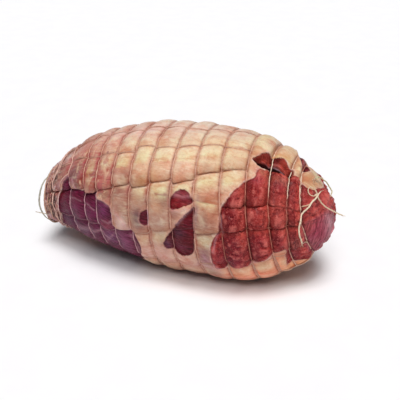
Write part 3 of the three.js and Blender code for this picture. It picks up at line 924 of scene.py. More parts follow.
    def lumps(self, point: Array) -> Array:
        """Rounded lumps of coarse cut muscle: near 0 in the sharp creases between them."""
        return np.abs(noise(point, 6.5, 7, 2)) + 0.5 * np.abs(noise(point, 3.2, 16))

    def pucker(self, found: Places) -> Array:
        """Folds that draw together on the face of the shank end.

        Args:
            found: the places.

        Returns:
            A height for each place, near 0 in the creases.
        """
        turn = np.radians(found.degrees)
        out = self.shape.radius_at(found.position)
        wheel = np.column_stack([9 * np.cos(turn), 9 * np.sin(turn), 0.35 * out])
        return np.abs(noise(wheel, 3.2, 24, 2))

    def ring(self, found: Places) -> Array:
        """Folds that run round the gathered shank end, between about -0.5 and 0.5."""
        return 0.26 - np.abs(noise(found.point * np.array([1, 0.3, 0.3]), 3.4, 14, 3))

    def fat_tone(self, found: Places) -> Array:
        """Colour of the fat, with painted shade in the hollows of the gathered shank end's folds and
        painted light on their ridges.

        Args:
            found: the places.

        Returns:
            One colour a row, in linear light.
        """
        tone = np.tile(linear(self.fat_base), (len(found.station), 1))
        tone = self.washed(found, tone, FAT_WASHES)
        tone = self.celled(found, tone)
        # The gathered folds and the puckered face use the surface's own heights: painted shade in the
        # hollows, painted light on the ridges.
        face = 1 - smooth(*SHANK_FACE, found.station)
        ring = self.ring_height * self.ring(found) * (1 - face) + 0.5 * noise(found.point, 4, 17, 2)
        ring += face * (1.6 * self.pucker(found) - 0.35)
        painted_fold_shade = blend(*map(linear, self.fold_shade_tones), (0.5 + ring).clip(0, 1))
        gathered = 0.85 * (1 - smooth(*SHANK_FOLDS, found.station))
        return self.washed(found, blend(tone, painted_fold_shade, gathered), END_WASHES)

    def celled(self, found: Places, tone: Array) -> Array:
        """Tints each cushion of fat: a creamy painted highlight where it swells, tan painted shade where it
        hangs over a strand, a painted highlight on the lip just below a strand, a random blush and a stain
        beside the hoops.

        Args:
            found: the places.
            tone: the colour of each place so far.

        Returns:
            The tinted colours.
        """
        station, turn, under = found.station, found.degrees, found.under
        # How steeply the skin runs round the joint, less on the underside and the back: the painted light
        # and shade follow it.
        away = between(BACK, turn) * (1 - 0.45 * smooth(296, 330, turn))
        level = np.abs(found.around[:, 2]) * smooth(-84, -44, station - 58 * smooth(150, 160, turn))
        level *= 1 - 0.85 * away
        each = 0.5 + 0.5 * found.cell
        inner = smooth(0.8, 5.0, found.hoop_gap)
        # Painted highlight: creamy yellow on the swell below each strand.
        light = 1.05 * np.sqrt(level) * inner * bell(under, 7, 5) * (0.4 + 0.6 * each)
        # Painted shade: tan where the cushion hangs over the strand below it.
        deep = 0.6 * level * bell(under, -2.2, 2.8) * (1 - 0.5 * each)
        blush = 0.25 * inner * (1 - each)
        raw = (1 - smooth(-46, 8, station)) * (1 - smooth(176, 196, turn))
        beside = (0.45 + 0.25 * raw) * bell(found.hoop_gap, 1.1, 1.3 + 0.8 * raw)
        beside *= 0.6 + noise(found.point, 14, 23, 2)
        # Painted highlight on the lip of fat just below a strand.
        fringe = 0.7 * level * bell(under, 1.5, 0.7) * smooth(-0.1, 0.4, noise(found.point, 5, 27, 2))
        colourings = (
            (blush, "d8a090"),
            (light.clip(0, 0.9), "ece6b4"),
            (deep, "b47c58"),
            ((beside * (1 - raw)).clip(0, 1), "c08470"),
            ((beside * raw).clip(0, 1), "ac5854"),
            (fringe, "fcf4e0"),
        )
        for share, colour in colourings:
            tone = blend(tone, linear(colour), share)
        return tone

    def lean_tone(self, found: Places) -> Array:
        """Colour of the muscle, with painted shade on one side of each red cushion and painted light on the
        other.

        Args:
            found: the places.

        Returns:
            One colour a row, in linear light.
        """
        tone = np.tile(linear(LEAN_PATCHES[0].colour), (len(found.station), 1))
        for patch, away in zip(LEAN_PATCHES[1:], found.patches[1:]):
            tone = blend(tone, linear(patch.colour), smooth(-4, -1, away))
        tone = self.washed(found, tone, LEAN_WASHES)
        red = smooth(44, 54, found.station) * (1 - 0.7 * smooth(104, 114, found.station))
        red = red * (0.75 + 0.5 * noise(found.point, 13, 19, 2))
        side, under = found.hoop_side, found.under
        # Painted shade after each hoop and above each row, and painted light before the next hoop and below
        # each row, on the red muscle.
        dark = 0.6 * bell(side, 3.4, 3.4) + 0.3 * bell(under, -3, 3)
        pale = 0.6 * bell(side, -3.6, 2.8) + 0.3 * bell(under, 3, 2.5)
        pale *= smooth(52, 64, found.station)
        for share, colour in ((dark * red, "5c0810"), (pale * red, "c45044")):
            tone = blend(tone, linear(colour), share.clip(0, 0.8))
        return tone

    def washed(self, found: Places, tone: Array, washes: tuple) -> Array:
        """Lays soft washes over a tone, one after another.

        Args:
            found: the places.
            tone: the colour of each place so far.
            washes: the tints, in order.

        Returns:
            The tinted colours.
        """
        mottle = 1 + 0.5 * noise(found.point, 9, 9, 3)
        for wash in washes:
            fade = np.exp(-self.off_middle(found, wash) * mottle)
            tone = blend(tone, linear(wash.colour), np.clip(wash.strength * fade, 0, 1))
        return tone


CLEFT_PATCH = [patch.outline for patch in LEAN_PATCHES].index(CLEFT)


# ---------------------------------------------------------------- meshes


def make_mesh(name: str, points: Array, faces: list, shift: float) -> bpy.types.Object:
    """Makes a smooth mesh object from points in millimetres.

    Args:
        name: name of the object.
        points: corners, one a row.
        faces: corner numbers of each face.
        shift: how far the joint's own zero lies from the frame's, along X.

    Returns:
        The object, linked to the scene.
    """
    mesh = bpy.data.meshes.new(name)
    moved = (points + np.array([shift, 0, 0])) * MM
    mesh.from_pydata(moved.tolist(), [], faces)
    mesh.polygons.foreach_set("use_smooth", np.ones(len(mesh.polygons), bool))
    mesh.update()
    piece = bpy.data.objects.new(name, mesh)
    bpy.context.scene.collection.objects.link(piece)
    return piece


def write_values(piece: bpy.types.Object, name: str, values: Array) -> None:
    """Stores one number or one vector for each corner of a mesh.

    Args:
        piece: the mesh object.
        name: name of the new attribute.
        values: one entry or row for each corner.
    """
    kind, key = ("FLOAT", "value") if values.ndim == 1 else ("FLOAT_VECTOR", "vector")
    layer = piece.data.attributes.new(name, kind, "POINT")
    layer.data.foreach_set(key, values.astype(np.float32).ravel())


def dress(piece: bpy.types.Object, material: bpy.types.Material, node: str) -> None:
    """Gives a piece its material and slot, and lets it ride and stand for a node.

    Args:
        piece: the mesh object.
        material: its material.
        node: the CAD node that it stands for.
    """
    piece.data.materials.append(material)
    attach(piece, "root")
    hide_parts(node)


def spread(place: Array, density: Array, count: int) -> Array:
    """Picks places so that they lie closer together where the density is higher.

    Args:
        place: a fine scale of places.
        density: how dense they should be along the scale.
        count: how many places to pick.

    Returns:
        The places.
    """
    steps = np.diff(place) * (density[1:] + density[:-1]) / 2
    total = np.concatenate([[0], np.cumsum(steps)])
    return np.interp(np.linspace(0, total[-1], count), total, place)


@dataclass
class Meat:
    """The rolled meat as one closed mesh with its tissues painted on."""

    skin: Skin
    rings: int = 374
    columns: int = 264
    fine_stations: Band = (48, 62, 98, 116)
    fine_angles: Band = (70, 95, 235, 260)

    def grid(self) -> tuple[Array, Array]:
        """Spreads the rings and columns of the mesh.

        Returns:
            Section positions of the rings and angles of the columns.
        """
        table = self.skin.shape.table
        run = np.hypot(np.gradient(table[:, 1]), np.gradient(table[:, 2]))
        run *= 1 + 0.45 * between(self.fine_stations, table[:, 1])
        length = np.concatenate([[0], np.cumsum(run[1:])])
        positions = np.interp(np.linspace(0, length[-1], self.rings + 2), length, table[:, 0])
        around = np.linspace(0, 360, 721)
        density = 0.75 + 0.5 * between(self.fine_angles, around) + 0.5 * bell(around, 104, 12)
        return positions[1:-1], spread(around, density, self.columns + 1)[:-1]

    def build(self) -> bpy.types.Object:
        """Builds the mesh and stores its tissue values.

        Returns:
            The meat's object.
        """
        shape = self.skin.shape
        positions, angles = self.grid()
        place = np.repeat(positions, len(angles))
        degrees = np.tile(angles, len(positions))
        tips = np.array([0.0, len(shape.sections) - 1.0])
        place = np.concatenate([place, tips])
        degrees = np.concatenate([degrees, [180.0, 180.0]])
        station = np.interp(place, shape.table[:, 0], shape.table[:, 1])
        found = self.skin.survey(station, degrees)
        points = self.skin.raised(found)
        piece = make_mesh("rolled_meat", points, self.faces(len(positions), len(angles)), shape.shift)
        across = found.flat / 10
        values = {
            "fat_tone": self.skin.fat_tone(found),
            "lean_tone": self.skin.lean_tone(found),
            "lean": found.lean,
            "shadowed": found.across,
            "film": found.film,
            "crease_shade": self.skin.painted_crease_shade(found),
            "fold": found.fold,
            "gathered": 1 - smooth(-112, -96, station),
            "bruised": self.skin.bruised(found),
            "lipped": self.skin.lipped(found),
            "seam": found.seam(),
            "grain": self.skin.share(found, "grain"),
            "lump": self.skin.lumps(found.point),
            "along_fibres": self.skin.along_fibres(found),
            "unrolled": np.column_stack([across, np.zeros(len(across))]),
        }
        for name, amounts in values.items():
            write_values(piece, name, amounts)
        LOG.info("rolled_meat: %d points", len(points))
        return piece

    def faces(self, rings: int, columns: int) -> list:
        """Faces between rings, and fans that close both ends.

        Args:
            rings: number of rings.
            columns: number of points in each ring.

        Returns:
            Corner numbers of each face.
        """
        faces = []
        for j in range(columns):
            k = (j + 1) % columns
            faces.append((rings * columns, k, j))
            for i in range(rings - 1):
                a, b = i * columns, (i + 1) * columns
                faces.append((a + j, a + k, b + k, b + j))
            end = (rings - 1) * columns
            faces.append((end + j, end + k, rings * columns + 1))
        return faces


@dataclass
class Swept:
    """A swept length of string: corners, faces, and the length run and colour at each corner."""

    points: Array
    faces: list
    run: Array
    stain: Array


@dataclass(frozen=True)
class Strand:
    """A length of twisted string, swept along points above the meat."""

    diameter: float
    sides: int = 8
    plies: int = 2
    twist_length: float = 4.6
    ply_depth: float = 0.16

    def sweep(self, points: Array, normals: Array, closed: bool, stain: Array) -> Swept:
        """Sweeps the section along a path.

        Args:
            points: the path, in millimetres.
            normals: which way is up at each point.
            closed: whether the path returns to its start.
            stain: one colour, or a colour for each point of the path.

        Returns:
            The swept length.
        """
        if closed:
            along = np.roll(points, -1, axis=0) - np.roll(points, 1, axis=0)
        else:
            along = np.gradient(points, axis=0)
        along /= np.linalg.norm(along, axis=1, keepdims=True)
        side = np.cross(along, normals)
        side /= np.linalg.norm(side, axis=1, keepdims=True)
        up = np.cross(side, along)
        gaps = np.linalg.norm(np.diff(points, axis=0), axis=1)
        run = np.concatenate([[0], np.cumsum(gaps)])
        turns = run / self.twist_length
        if closed:
            turns = turns * max(round(turns[-1]), 1) / turns[-1]
        angle = np.linspace(0, 2 * np.pi, self.sides, endpoint=False)[None, :]
        lobe = np.cos(self.plies * angle - 2 * np.pi * turns[:, None])
        reach = self.diameter / 2 * (1 - self.ply_depth + self.ply_depth * lobe)
        rings = points[:, None] + reach[..., None] * (
            np.cos(angle)[..., None] * up[:, None] + np.sin(angle)[..., None] * side[:, None]
        )
        colourings = np.broadcast_to(stain, (len(points), 3))
        return Swept(
            points=rings.reshape(-1, 3),
            faces=self.faces(len(points), closed),
            run=np.repeat(run, self.sides),
            stain=np.repeat(colourings, self.sides, axis=0),
        )

    def faces(self, count: int, closed: bool) -> list:
        """Faces of a swept section, with flat ends where it is open.

        Args:
            count: number of rings along the strand.
            closed: whether it returns to its start.

        Returns:
            Corner numbers of each face.
        """
        sides = self.sides
        faces = []
        for i in range(count if closed else count - 1):
            a, b = i * sides, ((i + 1) % count) * sides
            faces += [(a + j, a + (j + 1) % sides, b + (j + 1) % sides, b + j) for j in range(sides)]
        if not closed:
            last = (count - 1) * sides
            faces.append(tuple(reversed(range(sides))))
            faces.append(tuple(last + j for j in range(sides)))
        return faces


def string_piece(name: str, parts: list[Swept], shift: float) -> bpy.types.Object:
    """Makes one object of several swept strands.

    Args:
        name: name of the object.
        parts: the swept strands.
        shift: how far the joint's own zero lies from the frame's, along X.

    Returns:
        The object.
    """
    start = 0
    faces = []
    for part in parts:
        faces += [tuple(corner + start for corner in face) for face in part.faces]
        start += len(part.points)
    made = make_mesh(name, np.concatenate([part.points for part in parts]), faces, shift)
    write_values(made, "run", np.concatenate([part.run for part in parts]))
    write_values(made, "stain", np.concatenate([part.stain for part in parts]))
    LOG.info("%s: %d points", name, start)
    return made


def curve_through(corners: Array, step: float) -> Array:
    """Samples a smooth open curve through some points.

    Args:
        corners: the points, one a row.
        step: distance between samples, in the units of the first three columns.

    Returns:
        The samples, one a row.
    """
    ends = np.vstack([2 * corners[0] - corners[1], corners, 2 * corners[-1] - corners[-2]])
    gaps = np.linalg.norm(np.diff(corners[:, :3], axis=0), axis=1)
    pieces = []
    for i, gap in enumerate(gaps):
        part = np.linspace(0, 1, max(int(gap / step), 2), endpoint=False)[:, None]
        pieces.append(bend(ends[i : i + 4], part))
    return np.vstack([*pieces, corners[-1:]])


@dataclass(frozen=True)
class Soaked:
    """Colours that string takes: on membrane, in the middle, on dark and on pale fat."""

    membrane: str
    middle: str
    dark_fat: str
    pale_fat: str


@dataclass
class Netting:
    """The string net, pressed into the meat: hoops, lengthwise strands and their knots."""

    skin: Skin
    thread: float = 0.92
    pitch: float = 1.1
    sink: float = 0.3
    red_sink: float = 0.15
    slack_loops: tuple = ((1.2, 5.2, 128, 226, 0.0), (1.3, 4.2, 132, 222, 0.3))
    gathers: tuple = ((-125, 2, 0.2), (-123, -3, 0.4), (-119.5, 3, 0.3), (-117, -2, 0.2))
    bunches: tuple = (
        (0.9, (
            (0, -112), (90, -109), (115, -107.5), (135, -109), (152, -114), (170, -114),
            (182, -110), (202, -112), (216, -106), (260, -110),
        )),
        (0.7, (
            (0, -110), (90, -107), (115, -105.5), (135, -107.5), (152, -112.5), (170, -112),
            (182, -111.5), (202, -109), (216, -108), (260, -108),
        )),
        (0.4, (
            (0, -106), (90, -101), (120, -96), (146, -92), (152, -102), (172, -103.8),
            (191, -104.4), (215, -104.8), (260, -106),
        )),
    )
    bunched: tuple = ("f4d0c4", 0.6)
    stray_end: tuple = (-121.5, 205, 12.0)
    pairs: tuple = ((9, 204, 240, 1.2), (10, 205, 240, 1.3), (11, 200, 236, 1.3), (13, 100, 150, -1.3))
    slack_side: Span = (118, 236)
    first_station: float = -125.5
    row_reach: float = 12
    knot_thread: float = 0.62
    knot_radius: float = 0.72
    knot_tilt: float = 0.35
    knot_brightness: float = 1.08
    clean_crown: Band = (86, 92, 128, 146)
    clean_side: Band = (86, 92, 236, 250)
    hoop_tones: Soaked = Soaked("e0b0ba", "b07470", "c88c78", "ecc8b0")
    row_tones: Soaked = Soaked("94606c", "6c242c", "bc8c78", "e0b8a0")
    red_tone: str = "c87c68"
    clean_tone: str = "f8e2c8"
    slack_tone: str = "c4c4b4"
    stray_tone: str = "d4ccb8"

    def lay(self, station: Array, degrees: Array, closed: bool, above: float = 0.0) -> Swept:
        """Lays one strand on the meat through the given places.

        Args:
            station: stations along the strand.
            degrees: angles along the strand.
            closed: whether it is a hoop.
            above: extra height over the meat.

        Returns:
            The swept strand.
        """
        found = self.skin.survey(station, degrees)
        points = self.skin.raised(found, bridge=True)
        inside = smooth(-1.5, 1.0, found.lean) * smooth(*RED_START, station)
        height = self.thread / 2 - self.sink - self.red_sink * inside + above
        points = points + found.normal * height[:, None]
        points[:, 0] += 0.3 * noise(points, 5, 21, 2)
        points[:, 2] = np.maximum(points[:, 2], self.thread / 2 + 0.1)
        tones = self.hoop_tones if closed else self.row_tones
        return Strand(self.thread).sweep(points, found.normal, closed, self.stain(found, tones))

    def stain(self, found: Places, tones: Soaked) -> Array:
        """Colour that each place of the net has taken from the meat under it.

        Args:
            found: the places.
            tones: the colours that such a strand takes.

        Returns:
            One colour a row, in linear light.
        """
        station, turn = found.station, found.degrees
        lean = blend(linear(tones.membrane), linear(tones.middle), smooth(-12, 2, station))
        lean = blend(lean, linear(self.red_tone), smooth(36, 52, station))
        blotch = 0.5 + 0.5 * noise(found.point, 9, 22, 2)
        fat = blend(linear(tones.pale_fat), linear(tones.dark_fat), blotch)
        tone = blend(fat, lean, smooth(-1.5, 1.0, found.lean))
        clean = smooth(68, 76, station) * between(self.clean_crown, turn)
        last = 0.55 * smooth(100, 103, station) * between(self.clean_side, turn)
        return blend(tone, linear(self.clean_tone), np.maximum(clean, last))

    def hoops(self) -> bpy.types.Object:
        """All hoops, the bunched strands of the shank end and its slack loops.

        Returns:
            All of them as one object.
        """
        shape = self.skin.shape
        parts = []
        for index in range(len(shape.hoops)):
            degrees = self.circle(shape.hoops[index][0])
            parts.append(self.lay(shape.hoop_station(index, degrees), degrees, True))
        parts += self.gathered() + self.doubled()
        parts += [self.slack_loop(*loop) for loop in self.slack_loops]
        parts.append(self.stray())
        return string_piece("net_hoops", parts, shape.shift)

    def gathered(self) -> list[Swept]:
        """The strands that draw the net together at the shank end.

        Returns:
            The swept strands.
        """
        parts = []
        for station, lean, above in self.gathers:
            degrees = self.circle(station)
            wave = lean / 2 * np.sin(np.radians(degrees - self.skin.shape.hoop_pivot))
            wave += 0.8 * np.sin(np.radians(3 * degrees + 40 * lean))
            parts.append(self.lay(station + wave, degrees, True, above))
        colour, share = self.bunched
        for above, route in self.bunches:
            degrees = self.circle(-108)
            station = np.interp(degrees, *np.array(route, float).T, period=360)
            for _ in range(3):
                station = (np.roll(station, 2) + 2 * station + np.roll(station, -2)) / 4
            part = self.lay(station, degrees, True, above)
            part.stain = (1 - share) * part.stain + share * linear(colour)
            parts.append(part)
        return parts

    def doubled(self) -> list[Swept]:
        """Lengths of a second thread beside some of the hoops.

        Returns:
            The swept lengths.
        """
        parts = []
        for index, low, high, offset in self.pairs:
            degrees = np.arange(low, high, 1.2)
            apart = offset * np.sqrt(np.sin(np.pi * (degrees - low) / (high - low)).clip(0, 1))
            station = self.skin.shape.hoop_station(index, degrees) + apart
            parts.append(self.lay(station, degrees, False, 0.1))
        return parts

    def circle(self, station: float) -> Array:
        """Evenly stepped angles round the joint at a station."""
        radius = float(self.skin.shape.radius_at(self.skin.shape.position_of(np.array([station])))[0])
        return np.linspace(0, 360, int(2 * np.pi * radius / self.pitch), endpoint=False)

    def slack_loop(self, position: float, stand: float, low: float, high: float, above: float) -> Swept:
        """A last loop of the net, which hangs clear of the shank end on the near side.

        Args:
            position: section position of the loop.
            stand: how far it hangs clear, in millimetres.
            low: angle at which it leaves the meat.
            high: angle at which it returns.
            above: extra height over the meat.

        Returns:
            The swept loop.
        """
        shape = self.skin.shape
        station = float(np.interp(position, shape.table[:, 0], shape.table[:, 1]))
        degrees = self.circle(station)
        found = self.skin.survey(np.full(len(degrees), station), degrees)
        part = np.clip((degrees - low) / (high - low), 0, 1)
        points = self.skin.raised(found, bridge=True) + found.normal * (0.6 + above)
        points[:, 0] -= stand * np.sin(np.pi * part).clip(0) ** 0.7
        return Strand(self.thread).sweep(points, found.normal, True, linear(self.slack_tone))

    def stray(self) -> Swept:
        """The cut end of the net's thread, which sticks out past the shank end.

        Returns:
            The swept thread.
        """
        station, degrees, reach = self.stray_end
        part = np.linspace(0, 1, 12)
        found = self.skin.survey(np.full(len(part), station), degrees - 4 * part)
        points = self.skin.raised(found, bridge=True) + found.normal * (0.8 + 1.2 * part[:, None])
        points[:, 0] -= reach * part**1.3
        return Strand(self.thread).sweep(points, found.normal, False, linear(self.stray_tone))

    def rows(self) -> bpy.types.Object:
        """All lengthwise strands, and the knots where they cross the hoops.

        Returns:
            All of them as one object.
        """
        shape = self.skin.shape
        parts = []
        for index, (start, _, last) in enumerate(shape.rows):
            slack = self.slack_side[0] < start % 360 < self.slack_side[1]
            first = shape.hoops[0][0] if slack else self.first_station
            station = np.arange(first, shape.hoops[last][0] + self.row_reach, self.pitch)
            degrees = np.full(len(station), float(start))
            for _ in range(3):
                degrees = shape.row_angles(station, degrees)[index]
            kept = station <= shape.hoop_station(last, degrees)
            parts.append(self.lay(station[kept], degrees[kept], False))
            parts += self.knots(station[kept], degrees[kept], last)
        return string_piece("net_rows", parts, shape.shift)

    def knots(self, station: Array, degrees: Array, last: int) -> list[Swept]:
        """Small wraps of a lengthwise strand round each hoop that it crosses.

        Args:
            station: stations along the strand.
            degrees: angles along the strand.
            last: number of the last hoop that it reaches.

        Returns:
            The swept wraps.
        """
        shape = self.skin.shape
        strand = Strand(self.thread * self.knot_thread, sides=6, twist_length=2.0, ply_depth=0.1)
        made = []
        for hoop in range(1, last + 1):
            at = int(np.abs(station - shape.hoop_station(hoop, degrees)).argmin())
            found = self.skin.survey(station[at : at + 1], degrees[at : at + 1])
            centre = self.skin.raised(found, bridge=True) + found.normal * (self.thread / 2 - self.sink)
            centre[:, 2] = np.maximum(centre[:, 2], self.thread)
            along = np.cross(found.around, found.normal)
            angle = np.linspace(0, 2 * np.pi, 12, endpoint=False)[:, None]
            way = np.cos(angle) * found.normal + np.sin(angle) * along
            tilt = self.knot_tilt * np.sin(angle) * found.around
            stain = self.stain(found, self.hoop_tones) * self.knot_brightness
            ring = centre + way * self.thread * self.knot_radius + tilt
            made.append(strand.sweep(ring, way, True, stain))
        return made


@dataclass
class EndTie:
    """The tied twine on the cut end: knot, slack loop, tails and their frayed ends."""

    skin: Skin
    twine: float = 1.5
    hair: float = 0.22
    knot: tuple = (112.6, 122)
    tail_down: tuple = (
        (112.6, 122, 2.6), (112.6, 126, 2.3), (110.4, 135, 1.6), (109.6, 141, 1.2),
        (107.2, 151, 0.9), (106.3, 160, 0.8), (106, 170, 0.8), (106.6, 180, 0.9), (108, 190, 1.1),
    )
    tail_out: tuple = (
        (112.6, 122, 2.6), (114.5, 125, 2.0), (119, 129, 1.4),
        (124, 133, 1.4), (127.4, 134, 3.4), (128.3, 134, 6.4),
    )
    slack: tuple = (
        (112.6, 122, 2.6), (109.8, 126.5, 1.5), (107.2, 125, 1.1), (106.2, 120.5, 1.1),
        (107.2, 116, 1.4), (109.6, 115.5, 1.8), (111.2, 119, 2.1),
    )
    cross: tuple = ((111, 131, 1.4), (110, 137, 0.8), (108.4, 140, 0.6), (106.2, 142, 0.5))
    fringe: tuple = (
        (108, 96, 1.0), (109.5, 89, 2.4), (113, 82, 3.0),
        (117, 73, 3.0), (120.5, 70, 2.4), (121.5, 80, 1.6),
    )
    ears: tuple = (((112.6, 122, 2.8), (110.4, 119, 3.6)), ((112.6, 122, 2.8), (113.6, 115, 3.8)))
    wraps: tuple = ((0.5, 1.1, -0.4), (-0.6, 1.15, 0.4), (1.4, 1.0, 0.1))
    pale: str = "f4e4c8"
    frayed: str = "f0e0c4"

    def path(self, route: tuple, step: float = 0.8) -> tuple[Array, Array]:
        """Points in space of a route of stations, angles and heights over the meat.

        Args:
            route: the route.
            step: distance between points, in millimetres.

        Returns:
            The points, and which way is up at each.
        """
        corners = np.array(route, float)
        found = self.skin.survey(corners[:, 0], corners[:, 1])
        lying = self.skin.raised(found, bridge=True) + found.normal * (corners[:, 2:] + self.twine / 2)
        both = curve_through(np.column_stack([lying, found.normal]), step)
        points = both[:, :3] + 0.18 * noise(both[:, :3], 4, 31)[:, None]
        return points, both[:, 3:]

    def strand(self, route: tuple, diameter: float, colour: str) -> Swept:
        """Sweeps twine of three plies along a route."""
        three_ply = Strand(diameter, sides=9, plies=3, twist_length=3.6, ply_depth=0.14)
        return three_ply.sweep(*self.path(route), False, linear(colour))

    def frays(self, route: tuple, count: int, length: float, seed: int) -> list[Swept]:
        """Loose hairs that spread from the end of a tail.

        Args:
            route: the tail's route.
            count: number of hairs.
            length: length of the longest, in millimetres.
            seed: picks one of many tufts.

        Returns:
            The swept hairs.
        """
        points, normals = self.path(route)
        chance = np.random.default_rng(seed)
        ahead = points[-1] - points[-3]
        ahead /= np.linalg.norm(ahead)
        droop = np.array([0, 0, -0.25]) / length
        hair = Strand(self.hair, sides=5, plies=1, twist_length=9.0, ply_depth=0.0)
        made = []
        for _ in range(count):
            away = chance.normal(0, 0.4, 3)
            reach = np.linspace(-1.2, length * chance.uniform(0.5, 1), 8)[:, None]
            curl = (ahead + away * np.clip(reach / length, 0, 1)) * reach + droop * reach.clip(0) ** 2
            up = np.tile(normals[-1], (len(curl), 1))
            made.append(hair.sweep(points[-1] + curl, up, False, linear(self.frayed)))
        return made

    def knot_wraps(self) -> list[Swept]:
        """Turns of twine that make the knot.

        Returns:
            The swept turns.
        """
        found = self.skin.survey(np.array([self.knot[0]]), np.array([self.knot[1]]))
        centre = self.skin.raised(found, bridge=True) + found.normal * 3.0
        along = np.cross(found.around, found.normal)
        angle = np.linspace(0, 2 * np.pi, 20, endpoint=False)[:, None]
        turn = Strand(self.twine * 0.95, sides=9, plies=3, twist_length=3.0, ply_depth=0.14)
        made = []
        for lean, reach, offset in self.wraps:
            axis = np.cos(lean) * along + np.sin(lean) * found.around
            side = -np.sin(lean) * along + np.cos(lean) * found.around
            way = np.cos(angle) * found.normal * 0.85 + np.sin(angle) * side
            ring = centre + way * reach + axis * (offset + 0.5 * np.sin(angle))
            made.append(turn.sweep(ring, way, True, linear(self.pale)))
        return made

    def build(self) -> bpy.types.Object:
        """Builds the whole tie as one piece.

        Returns:
            The tie's object.
        """
        lengths = (
            (self.tail_down, 1.0, self.pale),
            (self.tail_out, 0.8, "ecd8b8"),
            (self.slack, 0.6, "ecd4b4"),
            (self.cross, 0.7, "e4c0a0"),
            (self.fringe, 0.8, "d8d4ac"),
            (self.ears[0], 0.7, self.pale),
            (self.ears[1], 0.7, self.pale),
        )
        tufts = (
            (self.tail_down, 7, 2.4, 41),
            (self.tail_out, 6, 3.0, 42),
            (self.fringe, 12, 4.0, 51),
            (self.fringe[::-1], 10, 4.0, 52),
            (self.ears[0], 5, 2.5, 43),
            (self.ears[1], 5, 2.5, 44),
        )
        parts = [self.strand(route, self.twine * share, colour) for route, share, colour in lengths]
        parts += self.knot_wraps()
        for tuft in tufts:
            parts += self.frays(*tuft)
        return string_piece("end_tie_twine", parts, self.skin.shape.shift)


# ---------------------------------------------------------------- materials


class Laying(Enum):
    """How a tint goes on: painted over the tone, or multiplied into it as a stain."""

    PAINT = "MIX"
    STAIN = "MULTIPLY"


@dataclass(frozen=True)
class Tint:
    """A tint that follows a pattern.

    The pattern's name, the values at which the tint starts and is full, its greatest
    share, its colour, how it goes on and, where it keeps to one place, the mask's name.
    """

    pattern: str
    start: float
    full: float
    share: float
    colour: str
    laying: Laying = Laying.STAIN
    within: str = ""


FAT_TINTS = (
    # Painted shade in the hollows of the fine wrinkle lines, then painted highlight on their crests.
    Tint("line", 0.46, 0.3, 0.32, "e0aca0"),
    Tint("line", 0.54, 0.72, 0.175, "fff8e4", Laying.PAINT),
    # Painted shade in the hollows of the folds of the fat, then painted light on their ridges.
    Tint("fold", -0.05, -0.5, 0.36, "dca090"),
    Tint("fold", 0.1, 0.6, 0.15, "fffae0", Laying.PAINT),
    Tint("cloud", 0.42, 0.68, 0.6, "f4ccc0"),
    Tint("patch", 0.5, 0.72, 0.25, "fcf4d0", Laying.PAINT),
    Tint("patch", 0.5, 0.3, 0.4, "f4d4bc"),
    Tint("vein", 0.02, 0.0, 0.25, "d09088"),
    Tint("fine", 0.4, 0.7, 0.2, "e8ccb0"),
    Tint("streak", 0.5, 0.34, 0.6, "b44854", Laying.PAINT, "bruised"),
    Tint("streak", 0.56, 0.72, 0.6, "ecc8a4", Laying.PAINT, "bruised"),
    Tint("crumple", 0.42, 0.3, 0.6, "844858", Laying.PAINT, "bruised"),
    # Painted shade in the hollows of the gathered crumples, then painted highlight on their ridges.
    Tint("crumple", 0.52, 0.38, 0.6, "4c242c", Laying.PAINT, "gathered"),
    Tint("crumple", 0.56, 0.68, 0.6, "ecd0cc", Laying.PAINT, "gathered"),
)

FINE_GRAINED_TINTS = (
    Tint("fibre", 0.58, 0.34, 0.85, "7c4c60"),
    Tint("fibre", 0.56, 0.74, 0.24, "cc7c98", Laying.PAINT),
    Tint("band", 0.5, 0.75, 0.049, "b46088", Laying.PAINT),
)

# Painted shade in the creases between the lumps of cut muscle and painted highlight on their tops, then
# painted shade in the pits of the fine grain.
COARSE_TINTS = (
    Tint("lump_shade", 0.32, 0.08, 0.4875, "5c0814", Laying.PAINT),
    Tint("lump_shade", 0.42, 0.85, 0.414, "f08478", Laying.PAINT),
    Tint("shaded_grain", 0.46, 0.3, 0.85, "9c5058"),
)


